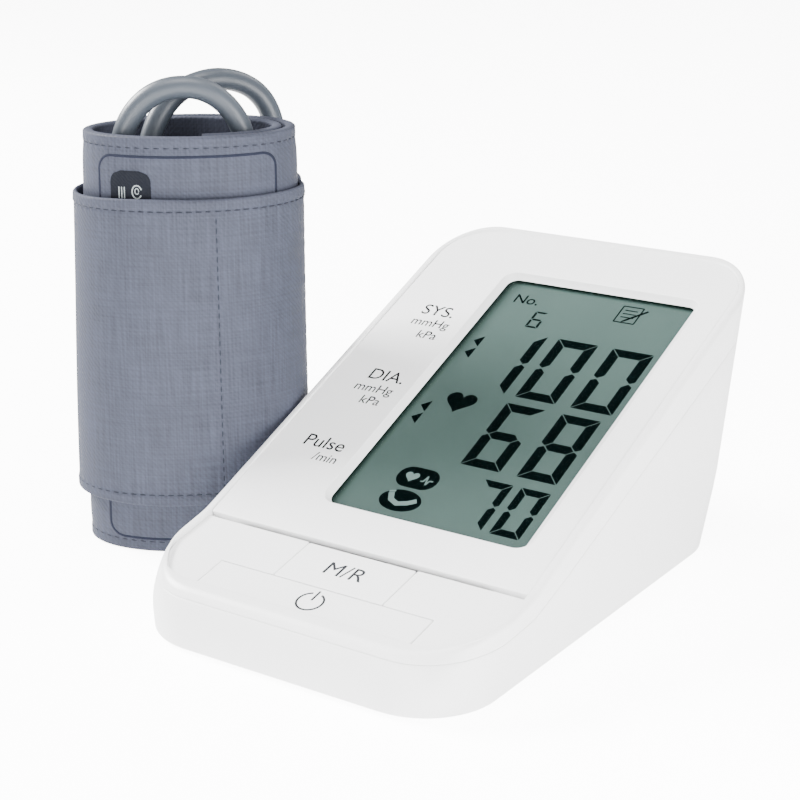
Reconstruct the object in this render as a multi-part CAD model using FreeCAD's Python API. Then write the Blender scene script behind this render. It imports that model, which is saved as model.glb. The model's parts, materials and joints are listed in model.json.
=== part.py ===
"""Upper-arm blood pressure monitor: a rolled cuff standing beside its display unit.

Millimetres, +Z up. The origin is on the table, under the middle of the pair.
The display unit has a frame of its own, with y = 0 on the line between its
sloping face and its keys. The rolled cuff has a frame of its own too, with
its height along Z, and is turned and set down beside the unit at the end.
"""
import FreeCAD, Part
import math
import os

from FreeCAD import Placement, Rotation, Vector

# --- display unit: driving dimensions -------------------------------------
UNIT_WIDTH = 118.0
WALL = 2.2
FLOOR_Z = 0.8
FRONT_Y = -40.5
REAR_FOOT_Y = 124.2
REAR_LEAN_DEG = 14.0
FRONT_R = 23.0
REAR_R = 19.0
EDGE_R = 3.0
SIDE_DRAFT = 3.0
FRONT_DRAFT = 0.3
DRAFT_HEIGHT = 24.0
TALL = 96.0
FACE_Z = 25.5
FACE_TILT_DEG = 23.6
FACE_LENGTH = 156.4
FACE_HALF = 56.2
PLATE_R = 16.5
PANEL_R = 17.0
PANEL_TILT_DEG = 12.5
PANEL_DROP = 0.9
PANEL_FRONT = -32.2
RIM_PROUD = 0.5
SEAM_Z = 18.9
SEAM_SLOPE_FACE = 0.39
SEAM_SLOPE_KEYS = 0.06
SLIDE_GAP = 0.3
SEAT_GAP = 0.2
SHELL_GAP = 0.1
FIT_GAP = 0.05
BIG = 400.0

# display window and stack, along the face: u across, v up the slope, w out
WINDOW = (-25.4, 47.1, 15.5, 136.0)
WINDOW_R = 5.0
WINDOW_BEVEL = 1.3
FACE_HOLE = (-44.0, 50.0, 9.0, 146.0)
PLATE_T = 2.4
ROOF_UNDER = -4.0
LENS_T = 0.9
GLASS_TOP = -3.6
GLASS_BOTTOM = -6.4
HOLDER_BOTTOM = -11.6
BOARD_TOP = -12.0
BOARD_T = 1.6
BOARD = (-42.0, 44.0, 14.0, 116.0)
GAUGE_AT = (-30.0, 40.0)
GAUGE_NOZZLE = (-12.0, 46.0, -17.0)
BEEPER_AT = (30.0, 98.0)
CHIP_AT = (20.0, 72.0)

# keys, along the key panel
KEY_T = 1.8
KEY_TRAVEL = 0.9
KEY_GAP = 0.4
MEMORY_KEY = (-17.6, 20.1, -18.9, -1.0)
POWER_KEY = (-36.5, 37.3, PANEL_FRONT, -19.3)
DECK_TOP = -3.75
DECK_UNDER = -5.25
STEM_R = 2.2
PLUNGER_R = 1.6
SWITCH_TOP = -8.6
SWITCH_SIDE = 6.4
SWITCH_H = 3.0
KEY_BOARD_T = 1.4

# battery bay, in the rear wall: x across, n out of the wall, s up the wall
CELL_R = 7.1
CELL_LENGTH = 49.3
CELL_PITCH = 14.8
CELLS = 4
BAY_LOW = 6.0
BAY_HIGH = 60.5
TRAY_HALF = 30.6
TRAY_DEPTH = 20.4
COVER_T = 3.0
COVER_HALF = 29.6
COVER_LOW = 7.0
COVER_HIGH = 60.0
HINGE_PIN_R = 0.8
HINGE_PIN_HALF = 32.0

# air side of the unit
SOCKET_Y = -12.0
SOCKET_Z = 10.0
SOCKET_R = 6.2
SOCKET_BORE_R = 4.1
SOCKET_BORE_DEPTH = 11.0
JACK_Y = 84.0
JACK_Z = 15.0
JACK_BORE_R = 2.8
PUMP_Y = 74.0
PUMP_Z = 19.0
MOTOR_R = 12.0
PUMP_R = 13.5
POST_R = 3.0
POSTS = [(-43.0, -26.0), (43.0, -26.0), (-47.5, 96.0)]
FEET = [(-45.0, -9.0), (45.0, -9.0), (-42.0, 109.0), (42.0, 109.0)]
HOSE_R = 2.4
NOZZLE_R = 1.9
AIR_Z = 10.0
BLOCK_LEFT = 12.0
BLOCK_RIGHT = 44.0
BLOCK_FRONT = 34.0
BLOCK_BACK = 43.9
BLOCK_LOW = 5.0
BLOCK_TOP = 15.0
BLOCK_MIDDLE = (BLOCK_FRONT + BLOCK_BACK) / 2
RISERS = (20.0, 38.0)
VALVE_X = 37.0
VALVE_R = 2.0
SCREW_R = 1.3
SCREW_CLEAR_R = 1.4

# --- cuff: driving dimensions -----------------------------------------------
CUFF_HEIGHT = 135.5
TAIL_LOW = 17.3
TAIL_HIGH = 116.5
OVAL_A = 26.5
OVAL_B = 15.0
WRAP_START_DEG = -438.0
WRAP_END_DEG = 120.0
TAIL_END_DEG = 428.0
TAB_END_DEG = 458.0
PITCH = 4.4
BODY_T = 4.0
CLOTH_T = 0.8
TAIL_T = 1.6
STIFFENER_T = 0.7
BLADDER_T = 1.3
LAYER_GAP = 0.05
TUBE_R = 3.5
TUBE_ANGLE_DEG = 37.0
TUBE_STANDOFF = 4.6
BULGE = 8.3
BULGE_HALF_DEG = 31.0
PORT_TOP = 62.0
PORT_LENGTH = 18.0
RING_WIRE_R = 1.5
RING_LOW = 22.0
RING_HIGH = 121.0
RING_CORNER = 4.0
RING_BAR = (3.2, -16.6)
RING_FAR = (-14.4, -13.7)
LABEL = (-137.0, -110.0, 82.5, 125.0)
PLUG_R = 4.6
PLUG_LENGTH = 24.0

# --- where the two stand ----------------------------------------------------
UNIT_AT = (34.0, -53.9)
CUFF_AT = (-94.0, 36.5)
CUFF_TURN_DEG = 41.0
CUFF_SHIFT_X = 0.5

NODES = {}


# --- plain shapes -------------------------------------------------------------
def box(x0, x1, y0, y1, z0, z1):
    """Block between two corners."""
    return Part.makeBox(x1 - x0, y1 - y0, z1 - z0, Vector(x0, y0, z0))


def rod(radius, start, end):
    """Round bar from one point to another."""
    first = Vector(*start)
    along = Vector(*end) - first
    return Part.makeCylinder(radius, along.Length, first, along)


def tube(outer, inner, start, end):
    """Round tube from one point to another, open at both ends."""
    first = Vector(*start)
    along = Vector(*end) - first
    reach = along.normalize() * WALL
    bore = rod(inner, tuple(first - reach), tuple(Vector(*end) + reach))
    return rod(outer, start, end).cut(bore)


def rounded_outline(corners, z=0.0):
    """Closed wire through (x, y, radius) corners, each corner a tangent arc."""
    count = len(corners)
    bends = []
    for index in range(count):
        here = Vector(corners[index][0], corners[index][1], z)
        before = Vector(corners[index - 1][0], corners[index - 1][1], z)
        following = corners[(index + 1) % count]
        after = Vector(following[0], following[1], z)
        back = (before - here).normalize()
        ahead = (after - here).normalize()
        radius = corners[index][2]
        half = back.getAngle(ahead) / 2
        reach = radius / math.tan(half)
        inward = (back + ahead).normalize() * (radius / math.sin(half) - radius)
        bends.append((here + back * reach, here + inward, here + ahead * reach, radius))
    edges = []
    for index in range(count):
        start, middle, end, radius = bends[index]
        if radius > 0:
            edges.append(Part.Arc(start, middle, end).toShape())
        edges.append(Part.LineSegment(end, bends[(index + 1) % count][0]).toShape())
    return Part.Wire(edges)


def prism(corners, z0, z1):
    """Upright solid on a rounded outline."""
    return Part.Face(rounded_outline(corners, z0)).extrude(Vector(0, 0, z1 - z0))


def rectangle(x0, x1, y0, y1, front_r, rear_r):
    """Corners of a rectangle, anticlockwise, with one radius in front and one behind."""
    return [(x0, y0, front_r), (x1, y0, front_r), (x1, y1, rear_r), (x0, y1, rear_r)]


def side_profile(points):
    """Solid as wide as needed on an outline of (y, z) points."""
    outline = [Vector(-BIG / 2, y, z) for y, z in points]
    face = Part.Face(Part.makePolygon(outline + outline[:1]))
    return face.extrude(Vector(BIG, 0, 0))


def fused(shapes):
    """One solid out of several that touch."""
    whole = shapes[0]
    for shape in shapes[1:]:
        whole = whole.fuse(shape)
    return whole.removeSplitter()


def group(shapes):
    """Separate solids kept in one node."""
    return Part.makeCompound(shapes)


# --- the unit's own slanted frames ---------------------------------------------
FACE_FRAME = Placement(Vector(0, 0, FACE_Z), Rotation(Vector(1, 0, 0), FACE_TILT_DEG))
PANEL_FRAME = Placement(
    Vector(0, 0, FACE_Z - PANEL_DROP), Rotation(Vector(1, 0, 0), PANEL_TILT_DEG)
)
REAR_FRAME = Placement(
    Vector(0, REAR_FOOT_Y, 0), Rotation(Vector(1, 0, 0), -REAR_LEAN_DEG)
)


def in_frame(shape, frame):
    """The shape, moved from a slanted frame into the unit's frame."""
    moved = shape.copy()
    moved.Placement = frame.multiply(moved.Placement)
    return moved


def face_height(y, w):
    """Height of the plane that lies w above the sloping face."""
    tilt = math.radians(FACE_TILT_DEG)
    return FACE_Z + y * math.tan(tilt) + w / math.cos(tilt)


def panel_height(y, w):
    """Height of the plane that lies w above the key panel."""
    tilt = math.radians(PANEL_TILT_DEG)
    return FACE_Z - PANEL_DROP + y * math.tan(tilt) + w / math.cos(tilt)


# --- the case --------------------------------------------------------------------
def envelope(inset):
    """The case's outer form, or the same form drawn in by a wall's thickness."""
    sections = []
    edge = EDGE_R - inset
    levels = []
    for degrees in (0, 30, 60, 90):
        turn = math.radians(degrees)
        levels.append((edge * (1 - math.cos(turn)), edge * (1 - math.sin(turn))))
    levels.append((DRAFT_HEIGHT - inset, 0.0))
    levels.append((TALL, 0.0))
    lean = math.tan(math.radians(REAR_LEAN_DEG))
    for height, tuck in levels:
        z = FLOOR_Z + inset + height
        rest = 1 - min((z - FLOOR_Z) / DRAFT_HEIGHT, 1.0)
        drawn_in = tuck + inset
        half = UNIT_WIDTH / 2 - SIDE_DRAFT * rest - drawn_in
        front = FRONT_Y + FRONT_DRAFT * rest + drawn_in
        rear = REAR_FOOT_Y + lean * z - drawn_in
        corners = rectangle(-half, half, front, rear, FRONT_R - drawn_in, REAR_R - drawn_in)
        sections.append(rounded_outline(corners, z))
    return Part.makeLoft(sections, True, True)


def below_top(face_w, panel_w):
    """Everything under the face and the key panel, at a height w from each."""
    far = BIG / 2
    return side_profile([
        (-far, -far),
        (-far, panel_height(-far, panel_w)),
        (0.0, panel_height(0.0, panel_w)),
        (0.0, face_height(0.0, face_w)),
        (far, face_height(far, face_w)),
        (far, -far),
    ])


def below_seam():
    """Everything under the parting line of the two case halves."""
    far = BIG / 2
    return side_profile([
        (-far, -far),
        (-far, SEAM_Z - SEAM_SLOPE_KEYS * far),
        (0.0, SEAM_Z),
        (far, SEAM_Z + SEAM_SLOPE_FACE * far),
        (far, -far),
    ])


def lower_region():
    """What the lower half takes: under the parting line, but not the key deck."""
    core = envelope(WALL).cut(below_top(ROOF_UNDER - SHELL_GAP, DECK_UNDER - SHELL_GAP))
    return below_seam().cut(core)


def key_panel_corners(grow):
    """Outline of the key panel, rounded at the front."""
    edge = FACE_HALF + grow
    return rectangle(-edge, edge, PANEL_FRONT - grow, grow - 0.6, PANEL_R + grow, 0.0)


def face_plate_corners(grow):
    """Outline of the face plate, rounded at the rear."""
    edge = FACE_HALF + grow
    return rectangle(-edge, edge, 0.3 - grow, FACE_LENGTH + grow, 1.0, PLATE_R + grow)


def case_shell():
    """Both case halves in one: walls, roof frame under the plate, key deck."""
    outer = envelope(0.0).common(below_top(RIM_PROUD, RIM_PROUD + PANEL_DROP))
    inner = envelope(WALL).common(below_top(ROOF_UNDER, DECK_UNDER))
    shell = outer.cut(inner)
    plate_seat = prism(face_plate_corners(SEAT_GAP), -PLATE_T - FIT_GAP, BIG / 10)
    shell = shell.cut(in_frame(plate_seat, FACE_FRAME))
    key_seat = prism(key_panel_corners(SEAT_GAP), DECK_TOP, BIG / 10)
    shell = shell.cut(in_frame(key_seat, PANEL_FRAME))
    hole = box(*FACE_HOLE, ROOF_UNDER - WALL, 0.0)
    shell = shell.cut(in_frame(hole, FACE_FRAME))
    for u, v in key_centres():
        stem_way = rod(STEM_R + SLIDE_GAP, (u, v, -BIG / 20), (u, v, 0))
        shell = shell.cut(in_frame(stem_way, PANEL_FRAME))
    return shell


def key_centres():
    """Centre of each moving key, on the key panel."""
    middles = []
    for u0, u1, v0, v1 in (MEMORY_KEY, POWER_KEY):
        middles.append(((u0 + u1) / 2, (v0 + v1) / 2))
    return middles


def top_shell(shell, lower):
    """Upper half: rim, roof frame, key deck and the posts that take the screws."""
    top = shell.cut(lower)
    inside = envelope(WALL / 2).common(below_top(-PLATE_T - 0.5, DECK_TOP - 0.5))
    posts = []
    for x, y in POSTS:
        post = tube(POST_R, SCREW_CLEAR_R, (x, y, post_split(y)), (x, y, TALL))
        posts.append(post.common(inside))
    return fused([top] + posts)


def post_split(y):
    """Height at which the lower half's post meets the upper half's."""
    return 9.0 if y < 0 else 26.0


def bottom_shell(shell, lower):
    """Lower half: floor, walls, screw posts and the openings in its walls."""
    bottom = shell.common(lower)
    inside = envelope(WALL / 2)
    posts = []
    for x, y in POSTS:
        post = tube(POST_R, SCREW_CLEAR_R, (x, y, FLOOR_Z), (x, y, post_split(y) - SHELL_GAP))
        posts.append(post.common(inside))
    bottom = fused([bottom] + posts)
    for x, y in POSTS:
        bottom = bottom.cut(rod(SCREW_CLEAR_R, (x, y, -1), (x, y, WALL * 2)))
        bottom = bottom.cut(rod(SCREW_CLEAR_R * 2, (x, y, -1), (x, y, FLOOR_Z + 1.6)))
    for x, y in FEET:
        bottom = bottom.cut(rod(5.1, (x, y, -1), (x, y, FLOOR_Z + 0.7)))
    doorway = box(
        -COVER_HALF - SLIDE_GAP, COVER_HALF + SLIDE_GAP, -6.0, 5.0,
        COVER_LOW - COVER_T / 2 - SLIDE_GAP, COVER_HIGH + SLIDE_GAP,
    )
    bottom = bottom.cut(in_frame(doorway, REAR_FRAME))
    bottom = bottom.cut(hinge_rod(HINGE_PIN_R, HINGE_PIN_HALF))
    wall_x = -UNIT_WIDTH / 2 - 1
    bottom = bottom.cut(rod(SOCKET_R, (wall_x, SOCKET_Y, SOCKET_Z), (-50, SOCKET_Y, SOCKET_Z)))
    bottom = bottom.cut(box(wall_x, -50, JACK_Y - 5.6, JACK_Y + 5.6, JACK_Z - 4.6, JACK_Z + 4.6))
    return bottom


def rubber_feet():
    """Four glued discs that the unit stands on."""
    return group([rod(5.0, (x, y, 0), (x, y, FLOOR_Z + 0.65)) for x, y in FEET])


def case_screws():
    """Self-tapping screws, up from the floor into the upper posts."""
    screws = []
    for x, y in POSTS:
        head = rod(2.6, (x, y, FLOOR_Z), (x, y, FLOOR_Z + 1.55))
        shank = rod(SCREW_R, (x, y, FLOOR_Z + 1), (x, y, post_split(y) + 3.8))
        screws.append(head.fuse(shank))
    return group(screws)


# --- face, display and board ---------------------------------------------------------
def face_plate():
    """Flat plate over the slope, with the bevelled display window."""
    plate = prism(face_plate_corners(0.0), -PLATE_T, 0.0)
    u0, u1, v0, v1 = WINDOW
    top = rounded_outline(rectangle(u0, u1, v0, v1, WINDOW_R, WINDOW_R), 0.01)
    tuck = WINDOW_BEVEL
    radius = WINDOW_R - tuck
    low = rectangle(u0 + tuck, u1 - tuck, v0 + tuck, v1 - tuck, radius, radius)
    bottom = rounded_outline(low, -PLATE_T - 0.01)
    return in_frame(plate.cut(Part.makeLoft([bottom, top], True, True)), FACE_FRAME)


def around_window(grow, w0, w1):
    """Block over the window's area, larger by a margin."""
    u0, u1, v0, v1 = WINDOW
    return box(u0 - grow, u1 + grow, v0 - grow, v1 + grow, w0, w1)


def display_lens():
    """Clear acrylic sheet behind the window."""
    lens = around_window(2.4, -PLATE_T - LENS_T - 0.05, -PLATE_T - 0.05)
    return in_frame(lens, FACE_FRAME)


def display_glass():
    """Liquid crystal panel, two sheets of glass."""
    return in_frame(around_window(1.6, GLASS_BOTTOM, GLASS_TOP), FACE_FRAME)


def display_holder():
    """Plastic frame that presses the glass up against the lens."""
    frame = around_window(2.4, HOLDER_BOTTOM, GLASS_BOTTOM - 0.05)
    frame = frame.cut(around_window(-6.0, HOLDER_BOTTOM - 1, GLASS_BOTTOM + 1))
    for u, v in board_screw_centres():
        frame = frame.cut(rod(1.1, (u, v, HOLDER_BOTTOM - 1), (u, v, -8.0)))
    return in_frame(frame, FACE_FRAME)


def contact_strip():
    """Rubber connector between the glass and the board."""
    u0, u1, v0, v1 = WINDOW
    strip = box(u0 + 8, u1 - 8, v0 + 6.4, v0 + 9.0, BOARD_TOP + 0.02, GLASS_BOTTOM - 0.02)
    return in_frame(strip, FACE_FRAME)


def board_screw_centres():
    """Screws that hold the board to the display holder."""
    u0, u1, v0, v1 = WINDOW
    margin = 2.2
    return [(u, v) for v in (v0 + margin, v1 - 26.0) for u in (u0 + margin, u1 - margin - 2.4)]


def main_board():
    """Printed circuit board under the display."""
    u0, u1, v0, v1 = BOARD
    board = box(u0, u1, v0, v1, BOARD_TOP - BOARD_T, BOARD_TOP)
    for u, v in board_screw_centres():
        board = board.cut(rod(1.25, (u, v, BOARD_TOP - WALL), (u, v, 0)))
    return in_frame(board, FACE_FRAME)


def board_screws():
    """Four small screws through the board."""
    screws = []
    low = BOARD_TOP - BOARD_T
    for u, v in board_screw_centres():
        head = rod(1.9, (u, v, low - 1.3), (u, v, low - 0.02))
        screws.append(head.fuse(rod(1.0, (u, v, low - 1), (u, v, -8.5))))
    return in_frame(group(screws), FACE_FRAME)


def board_part(u, v, width, length, height):
    """Component standing on the underside of the board."""
    low = BOARD_TOP - BOARD_T
    block = box(u, u + width, v, v + length, low - height, low - 0.02)
    return in_frame(block, FACE_FRAME)


def pressure_sensor():
    """Gauge chip with its nozzle, under the board."""
    u, v, w = GAUGE_NOZZLE
    nozzle = in_frame(rod(1.5, (u - 6.5, v, w), (u, v, w)), FACE_FRAME)
    return fused([board_part(*GAUGE_AT, 12, 12, 6.0), nozzle])


def beeper():
    """Round sounder under the board."""
    low = BOARD_TOP - BOARD_T
    return in_frame(rod(6.0, (*BEEPER_AT, low - 4), (*BEEPER_AT, low - 0.02)), FACE_FRAME)


# --- keys --------------------------------------------------------------------------
def key_cap(bounds, centre):
    """Moving key, inside the panel's outline, and the stem through the deck."""
    cap = box(*bounds, -KEY_T, 0.0).common(prism(key_panel_corners(0.0), -KEY_T, 0.0))
    stem = rod(STEM_R, (*centre, SWITCH_TOP + 0.9), (*centre, -KEY_T))
    return in_frame(fused([cap, stem]), PANEL_FRAME)


def key_wings():
    """The two fixed blanks on either side of the keys, resting on the deck."""
    panel = prism(key_panel_corners(0.0), DECK_TOP + 0.02, 0.0)
    for u0, u1, v0, v1 in (MEMORY_KEY, POWER_KEY):
        far_front = v0 - KEY_GAP if v0 > PANEL_FRONT else -BIG
        far_rear = v1 + KEY_GAP if v0 <= PANEL_FRONT else BIG
        panel = panel.cut(box(u0 - KEY_GAP, u1 + KEY_GAP, far_front, far_rear, -BIG, BIG))
    solids = sorted(panel.Solids, key=lambda solid: solid.CenterOfMass.x)
    return [in_frame(solid, PANEL_FRAME) for solid in solids]


def plunger(centre):
    """Round actuator of a tact switch, which travels with its key."""
    top = SWITCH_TOP + 0.88
    return in_frame(rod(PLUNGER_R, (*centre, top - 2.2), (*centre, top)), PANEL_FRAME)


def tact_switches():
    """Two switch bodies, each bored for its actuator."""
    switches = []
    half = SWITCH_SIDE / 2
    for u, v in key_centres():
        block = (u - half, u + half, v - half, v + half)
        body = box(*block, SWITCH_TOP - SWITCH_H, SWITCH_TOP - SHELL_GAP)
        well = rod(PLUNGER_R + FIT_GAP, (u, v, SWITCH_TOP - 2.6), (u, v, 0))
        switches.append(body.cut(well))
    return in_frame(group(switches), PANEL_FRAME)


def key_board():
    """Small board that carries the two switches."""
    low = SWITCH_TOP - SWITCH_H
    board = box(-20, 22, PANEL_FRONT + 3, -3, low - KEY_BOARD_T, low - 0.02)
    return in_frame(board, PANEL_FRAME)


# --- battery bay ----------------------------------------------------------------------
def cell_x(index):
    """Centre of a cell across the bay."""
    return (index - (CELLS - 1) / 2) * CELL_PITCH


def battery_tray():
    """Open tray behind the rear wall, one round-backed bay per cell."""
    tray = box(-TRAY_HALF, TRAY_HALF, -TRAY_DEPTH, -COVER_T - 0.4, BAY_LOW - 1.4, BAY_HIGH + 1.4)
    n = -COVER_T - 1.0 - CELL_R
    for index in range(CELLS):
        x = cell_x(index)
        tray = tray.cut(rod(CELL_R + 0.2, (x, n, BAY_LOW), (x, n, BAY_HIGH)))
        tray = tray.cut(box(x - CELL_R - 0.2, x + CELL_R + 0.2, n, 1, BAY_LOW, BAY_HIGH))
    return in_frame(tray, REAR_FRAME)


def cell_base(index):
    """Lower end of a cell: they stand head up and head down in turn."""
    return BAY_LOW + (3.6 if index % 2 else 0.4)


def batteries():
    """Four cells, each a can with its raised pole."""
    n = -COVER_T - 1.0 - CELL_R
    cells = []
    for index in range(CELLS):
        x = cell_x(index)
        low = cell_base(index)
        high = low + CELL_LENGTH
        if index % 2:
            pole = rod(2.7, (x, n, high - 0.5), (x, n, high + 1.1))
        else:
            low = low + 1.1
            high = high + 1.1
            pole = rod(2.7, (x, n, low - 1.1), (x, n, low + 0.5))
        cells.append(rod(CELL_R, (x, n, low), (x, n, high)).fuse(pole))
    return in_frame(group(cells), REAR_FRAME)


def battery_springs():
    """Four contact springs, drawn as stacked wire turns that widen to the wall."""
    n = -COVER_T - 1.0 - CELL_R
    wire = 0.4
    springs = []
    for index in range(CELLS):
        x = cell_x(index)
        wall = BAY_LOW if index % 2 else BAY_HIGH
        step = 0.72 if index % 2 else -0.72
        first = wall + (0.75 if index % 2 else -0.75)
        turns = []
        for turn in range(4):
            centre = Vector(x, n, first + step * turn)
            turns.append(Part.makeTorus(4.2 - 0.25 * turn, wire, centre, Vector(0, 0, 1)))
        springs.append(fused(turns))
    return in_frame(group(springs), REAR_FRAME)


def battery_contacts():
    """Plated strips at both ends of the bay."""
    plates = []
    n = -COVER_T - 1.0 - CELL_R
    for index in range(CELLS):
        x = cell_x(index)
        plates.append(box(x - 5, x + 5, n - 5, n + 5, BAY_LOW + 0.02, BAY_LOW + 0.32))
        plates.append(box(x - 5, x + 5, n - 5, n + 5, BAY_HIGH - 0.32, BAY_HIGH - 0.02))
    return in_frame(group(plates), REAR_FRAME)


def hinge_rod(radius, half_length):
    """Rod on the cover's hinge line."""
    n = -COVER_T / 2
    bar = rod(radius, (-half_length, n, COVER_LOW), (half_length, n, COVER_LOW))
    return in_frame(bar, REAR_FRAME)


def battery_cover():
    """Rear door: flush plate, rounded hinge edge, finger notch, thinner middle."""
    n = -COVER_T / 2
    plate = box(-COVER_HALF, COVER_HALF, -COVER_T, 0.0, COVER_LOW, COVER_HIGH)
    knuckle = rod(COVER_T / 2, (-COVER_HALF, n, COVER_LOW), (COVER_HALF, n, COVER_LOW))
    door = fused([plate, knuckle])
    notch_s = COVER_HIGH + 4.4
    door = door.cut(rod(7.0, (0, -COVER_T - 1, notch_s), (0, 1, notch_s)))
    relief = COVER_HALF - 3
    door = door.cut(box(-relief, relief, -COVER_T - 1, -1.6, COVER_LOW + 5, COVER_HIGH - 6))
    bore = HINGE_PIN_R + FIT_GAP
    door = door.cut(rod(bore, (-BIG / 8, n, COVER_LOW), (BIG / 8, n, COVER_LOW)))
    return in_frame(door, REAR_FRAME)


# --- air system ---------------------------------------------------------------------------
def air_socket():
    """Socket in the left wall that takes the cuff's air plug."""
    mouth = -UNIT_WIDTH / 2 + 1.2
    back = mouth + SOCKET_BORE_DEPTH + 2
    body = rod(SOCKET_R - 0.05, (mouth, SOCKET_Y, SOCKET_Z), (back, SOCKET_Y, SOCKET_Z))
    nozzle = rod(NOZZLE_R, (back - 0.5, SOCKET_Y, SOCKET_Z), (back + 6, SOCKET_Y, SOCKET_Z))
    bore_end = mouth + SOCKET_BORE_DEPTH
    bore = rod(SOCKET_BORE_R, (mouth - 1, SOCKET_Y, SOCKET_Z), (bore_end, SOCKET_Y, SOCKET_Z))
    duct = rod(0.9, (mouth, SOCKET_Y, SOCKET_Z), (back + 7, SOCKET_Y, SOCKET_Z))
    return fused([body, nozzle]).cut(bore).cut(duct)


def dc_jack():
    """Power inlet in the left wall, with its centre pin."""
    mouth = -UNIT_WIDTH / 2 + 1.2
    body = box(mouth, mouth + 13, JACK_Y - 5.5, JACK_Y + 5.5, JACK_Z - 4.5, JACK_Z + 4.5)
    body = body.cut(rod(JACK_BORE_R, (mouth - 1, JACK_Y, JACK_Z), (mouth + 9.5, JACK_Y, JACK_Z)))
    pin = rod(0.85, (mouth + 1.5, JACK_Y, JACK_Z), (mouth + 11, JACK_Y, JACK_Z))
    return fused([body, pin])


def pump_motor():
    """Small motor, bored for its shaft."""
    can = rod(MOTOR_R, (-34, PUMP_Y, PUMP_Z), (-5, PUMP_Y, PUMP_Z))
    return can.cut(rod(1.0 + FIT_GAP, (-40, PUMP_Y, PUMP_Z), (0, PUMP_Y, PUMP_Z)))


def motor_shaft():
    """Shaft and drive disc, the part that spins."""
    shaft = rod(1.0, (-36, PUMP_Y, PUMP_Z), (-1, PUMP_Y, PUMP_Z))
    disc = rod(6.0, (-1.5, PUMP_Y, PUMP_Z), (2.5, PUMP_Y, PUMP_Z))
    return fused([shaft, disc])


def pump_head():
    """Diaphragm pump head with a chamber for the drive disc and an outlet."""
    head = rod(PUMP_R, (-4.8, PUMP_Y, PUMP_Z), (22, PUMP_Y, PUMP_Z))
    head = head.cut(rod(1.6, (-6, PUMP_Y, PUMP_Z), (0, PUMP_Y, PUMP_Z)))
    head = head.cut(rod(7.0, (-2.5, PUMP_Y, PUMP_Z), (4, PUMP_Y, PUMP_Z)))
    outlet = rod(NOZZLE_R, (21, PUMP_Y - 6, PUMP_Z), (29, PUMP_Y - 6, PUMP_Z))
    return fused([head, outlet])


def pump_cradle():
    """Rubber bed that keeps the pump's shake off the floor."""
    floor = FLOOR_Z + WALL + 0.05
    bed = box(-30, 18, PUMP_Y - 12, PUMP_Y + 12, floor, PUMP_Z - 2)
    bed = bed.cut(rod(MOTOR_R + 0.05, (-40, PUMP_Y, PUMP_Z), (-4.9, PUMP_Y, PUMP_Z)))
    return bed.cut(rod(PUMP_R + 0.05, (-4.9, PUMP_Y, PUMP_Z), (30, PUMP_Y, PUMP_Z)))


def valve_body():
    """Exhaust valve, an electromagnet round a sliding plunger."""
    front = BLOCK_BACK + 0.02
    floor = FLOOR_Z + WALL + FIT_GAP
    body = box(VALVE_X - 7, VALVE_X + 7, front, front + 16, floor, BLOCK_TOP + 2)
    bore = rod(VALVE_R + FIT_GAP, (VALVE_X, front - 1, AIR_Z), (VALVE_X, front + 13, AIR_Z))
    return body.cut(bore)


def valve_plunger():
    """Plunger that opens the exhaust."""
    front = BLOCK_BACK + SHELL_GAP
    return rod(VALVE_R, (VALVE_X, front, AIR_Z), (VALVE_X, front + 10.9, AIR_Z))


def manifold():
    """Block that joins the socket, the pump, the gauge and the valve."""
    block = box(BLOCK_LEFT, BLOCK_RIGHT, BLOCK_FRONT, BLOCK_BACK, BLOCK_LOW, BLOCK_TOP)
    y = BLOCK_MIDDLE
    nozzles = [rod(NOZZLE_R, (BLOCK_LEFT + 0.5, y, AIR_Z), (BLOCK_LEFT - 6, y, AIR_Z))]
    for x in RISERS:
        nozzles.append(rod(NOZZLE_R, (x, y, BLOCK_TOP - 0.5), (x, y, BLOCK_TOP + 3)))
    return fused([block] + nozzles)


def inner_hoses():
    """Hoses from the socket, the pump and the gauge to the manifold."""
    y = BLOCK_MIDDLE
    gauge_x, pump_x = RISERS
    socket_end = -UNIT_WIDTH / 2 + 1.2 + SOCKET_BORE_DEPTH + 8
    outlet_y = PUMP_Y - 6
    supply = [
        (socket_end, SOCKET_Y, SOCKET_Z), (-30, SOCKET_Y, SOCKET_Z), (-26, -3, 10.3),
        (-24, 8, 10.4), (-20, 20, 10.2), (-14, 31, AIR_Z), (-4, y, AIR_Z),
        (BLOCK_LEFT - 6, y, AIR_Z),
    ]
    pump = [
        (29, outlet_y, PUMP_Z), (37, outlet_y, PUMP_Z + 0.6), (43.5, outlet_y - 6.5, 21.4),
        (43.5, 52, 23.6), (40.2, 44.5, 25.2), (pump_x, y, 24.4), (pump_x, y, BLOCK_TOP + 3),
    ]
    start = FACE_FRAME.multVec(Vector(*GAUGE_NOZZLE))
    gauge = [
        tuple(start), (-3, start.y, start.z - 0.4), (7, start.y - 2, start.z - 1.2),
        (15.5, start.y - 5.5, start.z - 2), (gauge_x, y, 24.6), (gauge_x, y, BLOCK_TOP + 3),
    ]
    routes = {"supply_hose": supply, "pump_hose": pump, "gauge_hose": gauge}
    hoses = {}
    for name, route in routes.items():
        hoses[name] = cord_solid([Vector(*point) for point in route], HOSE_R)
    return hoses


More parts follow.
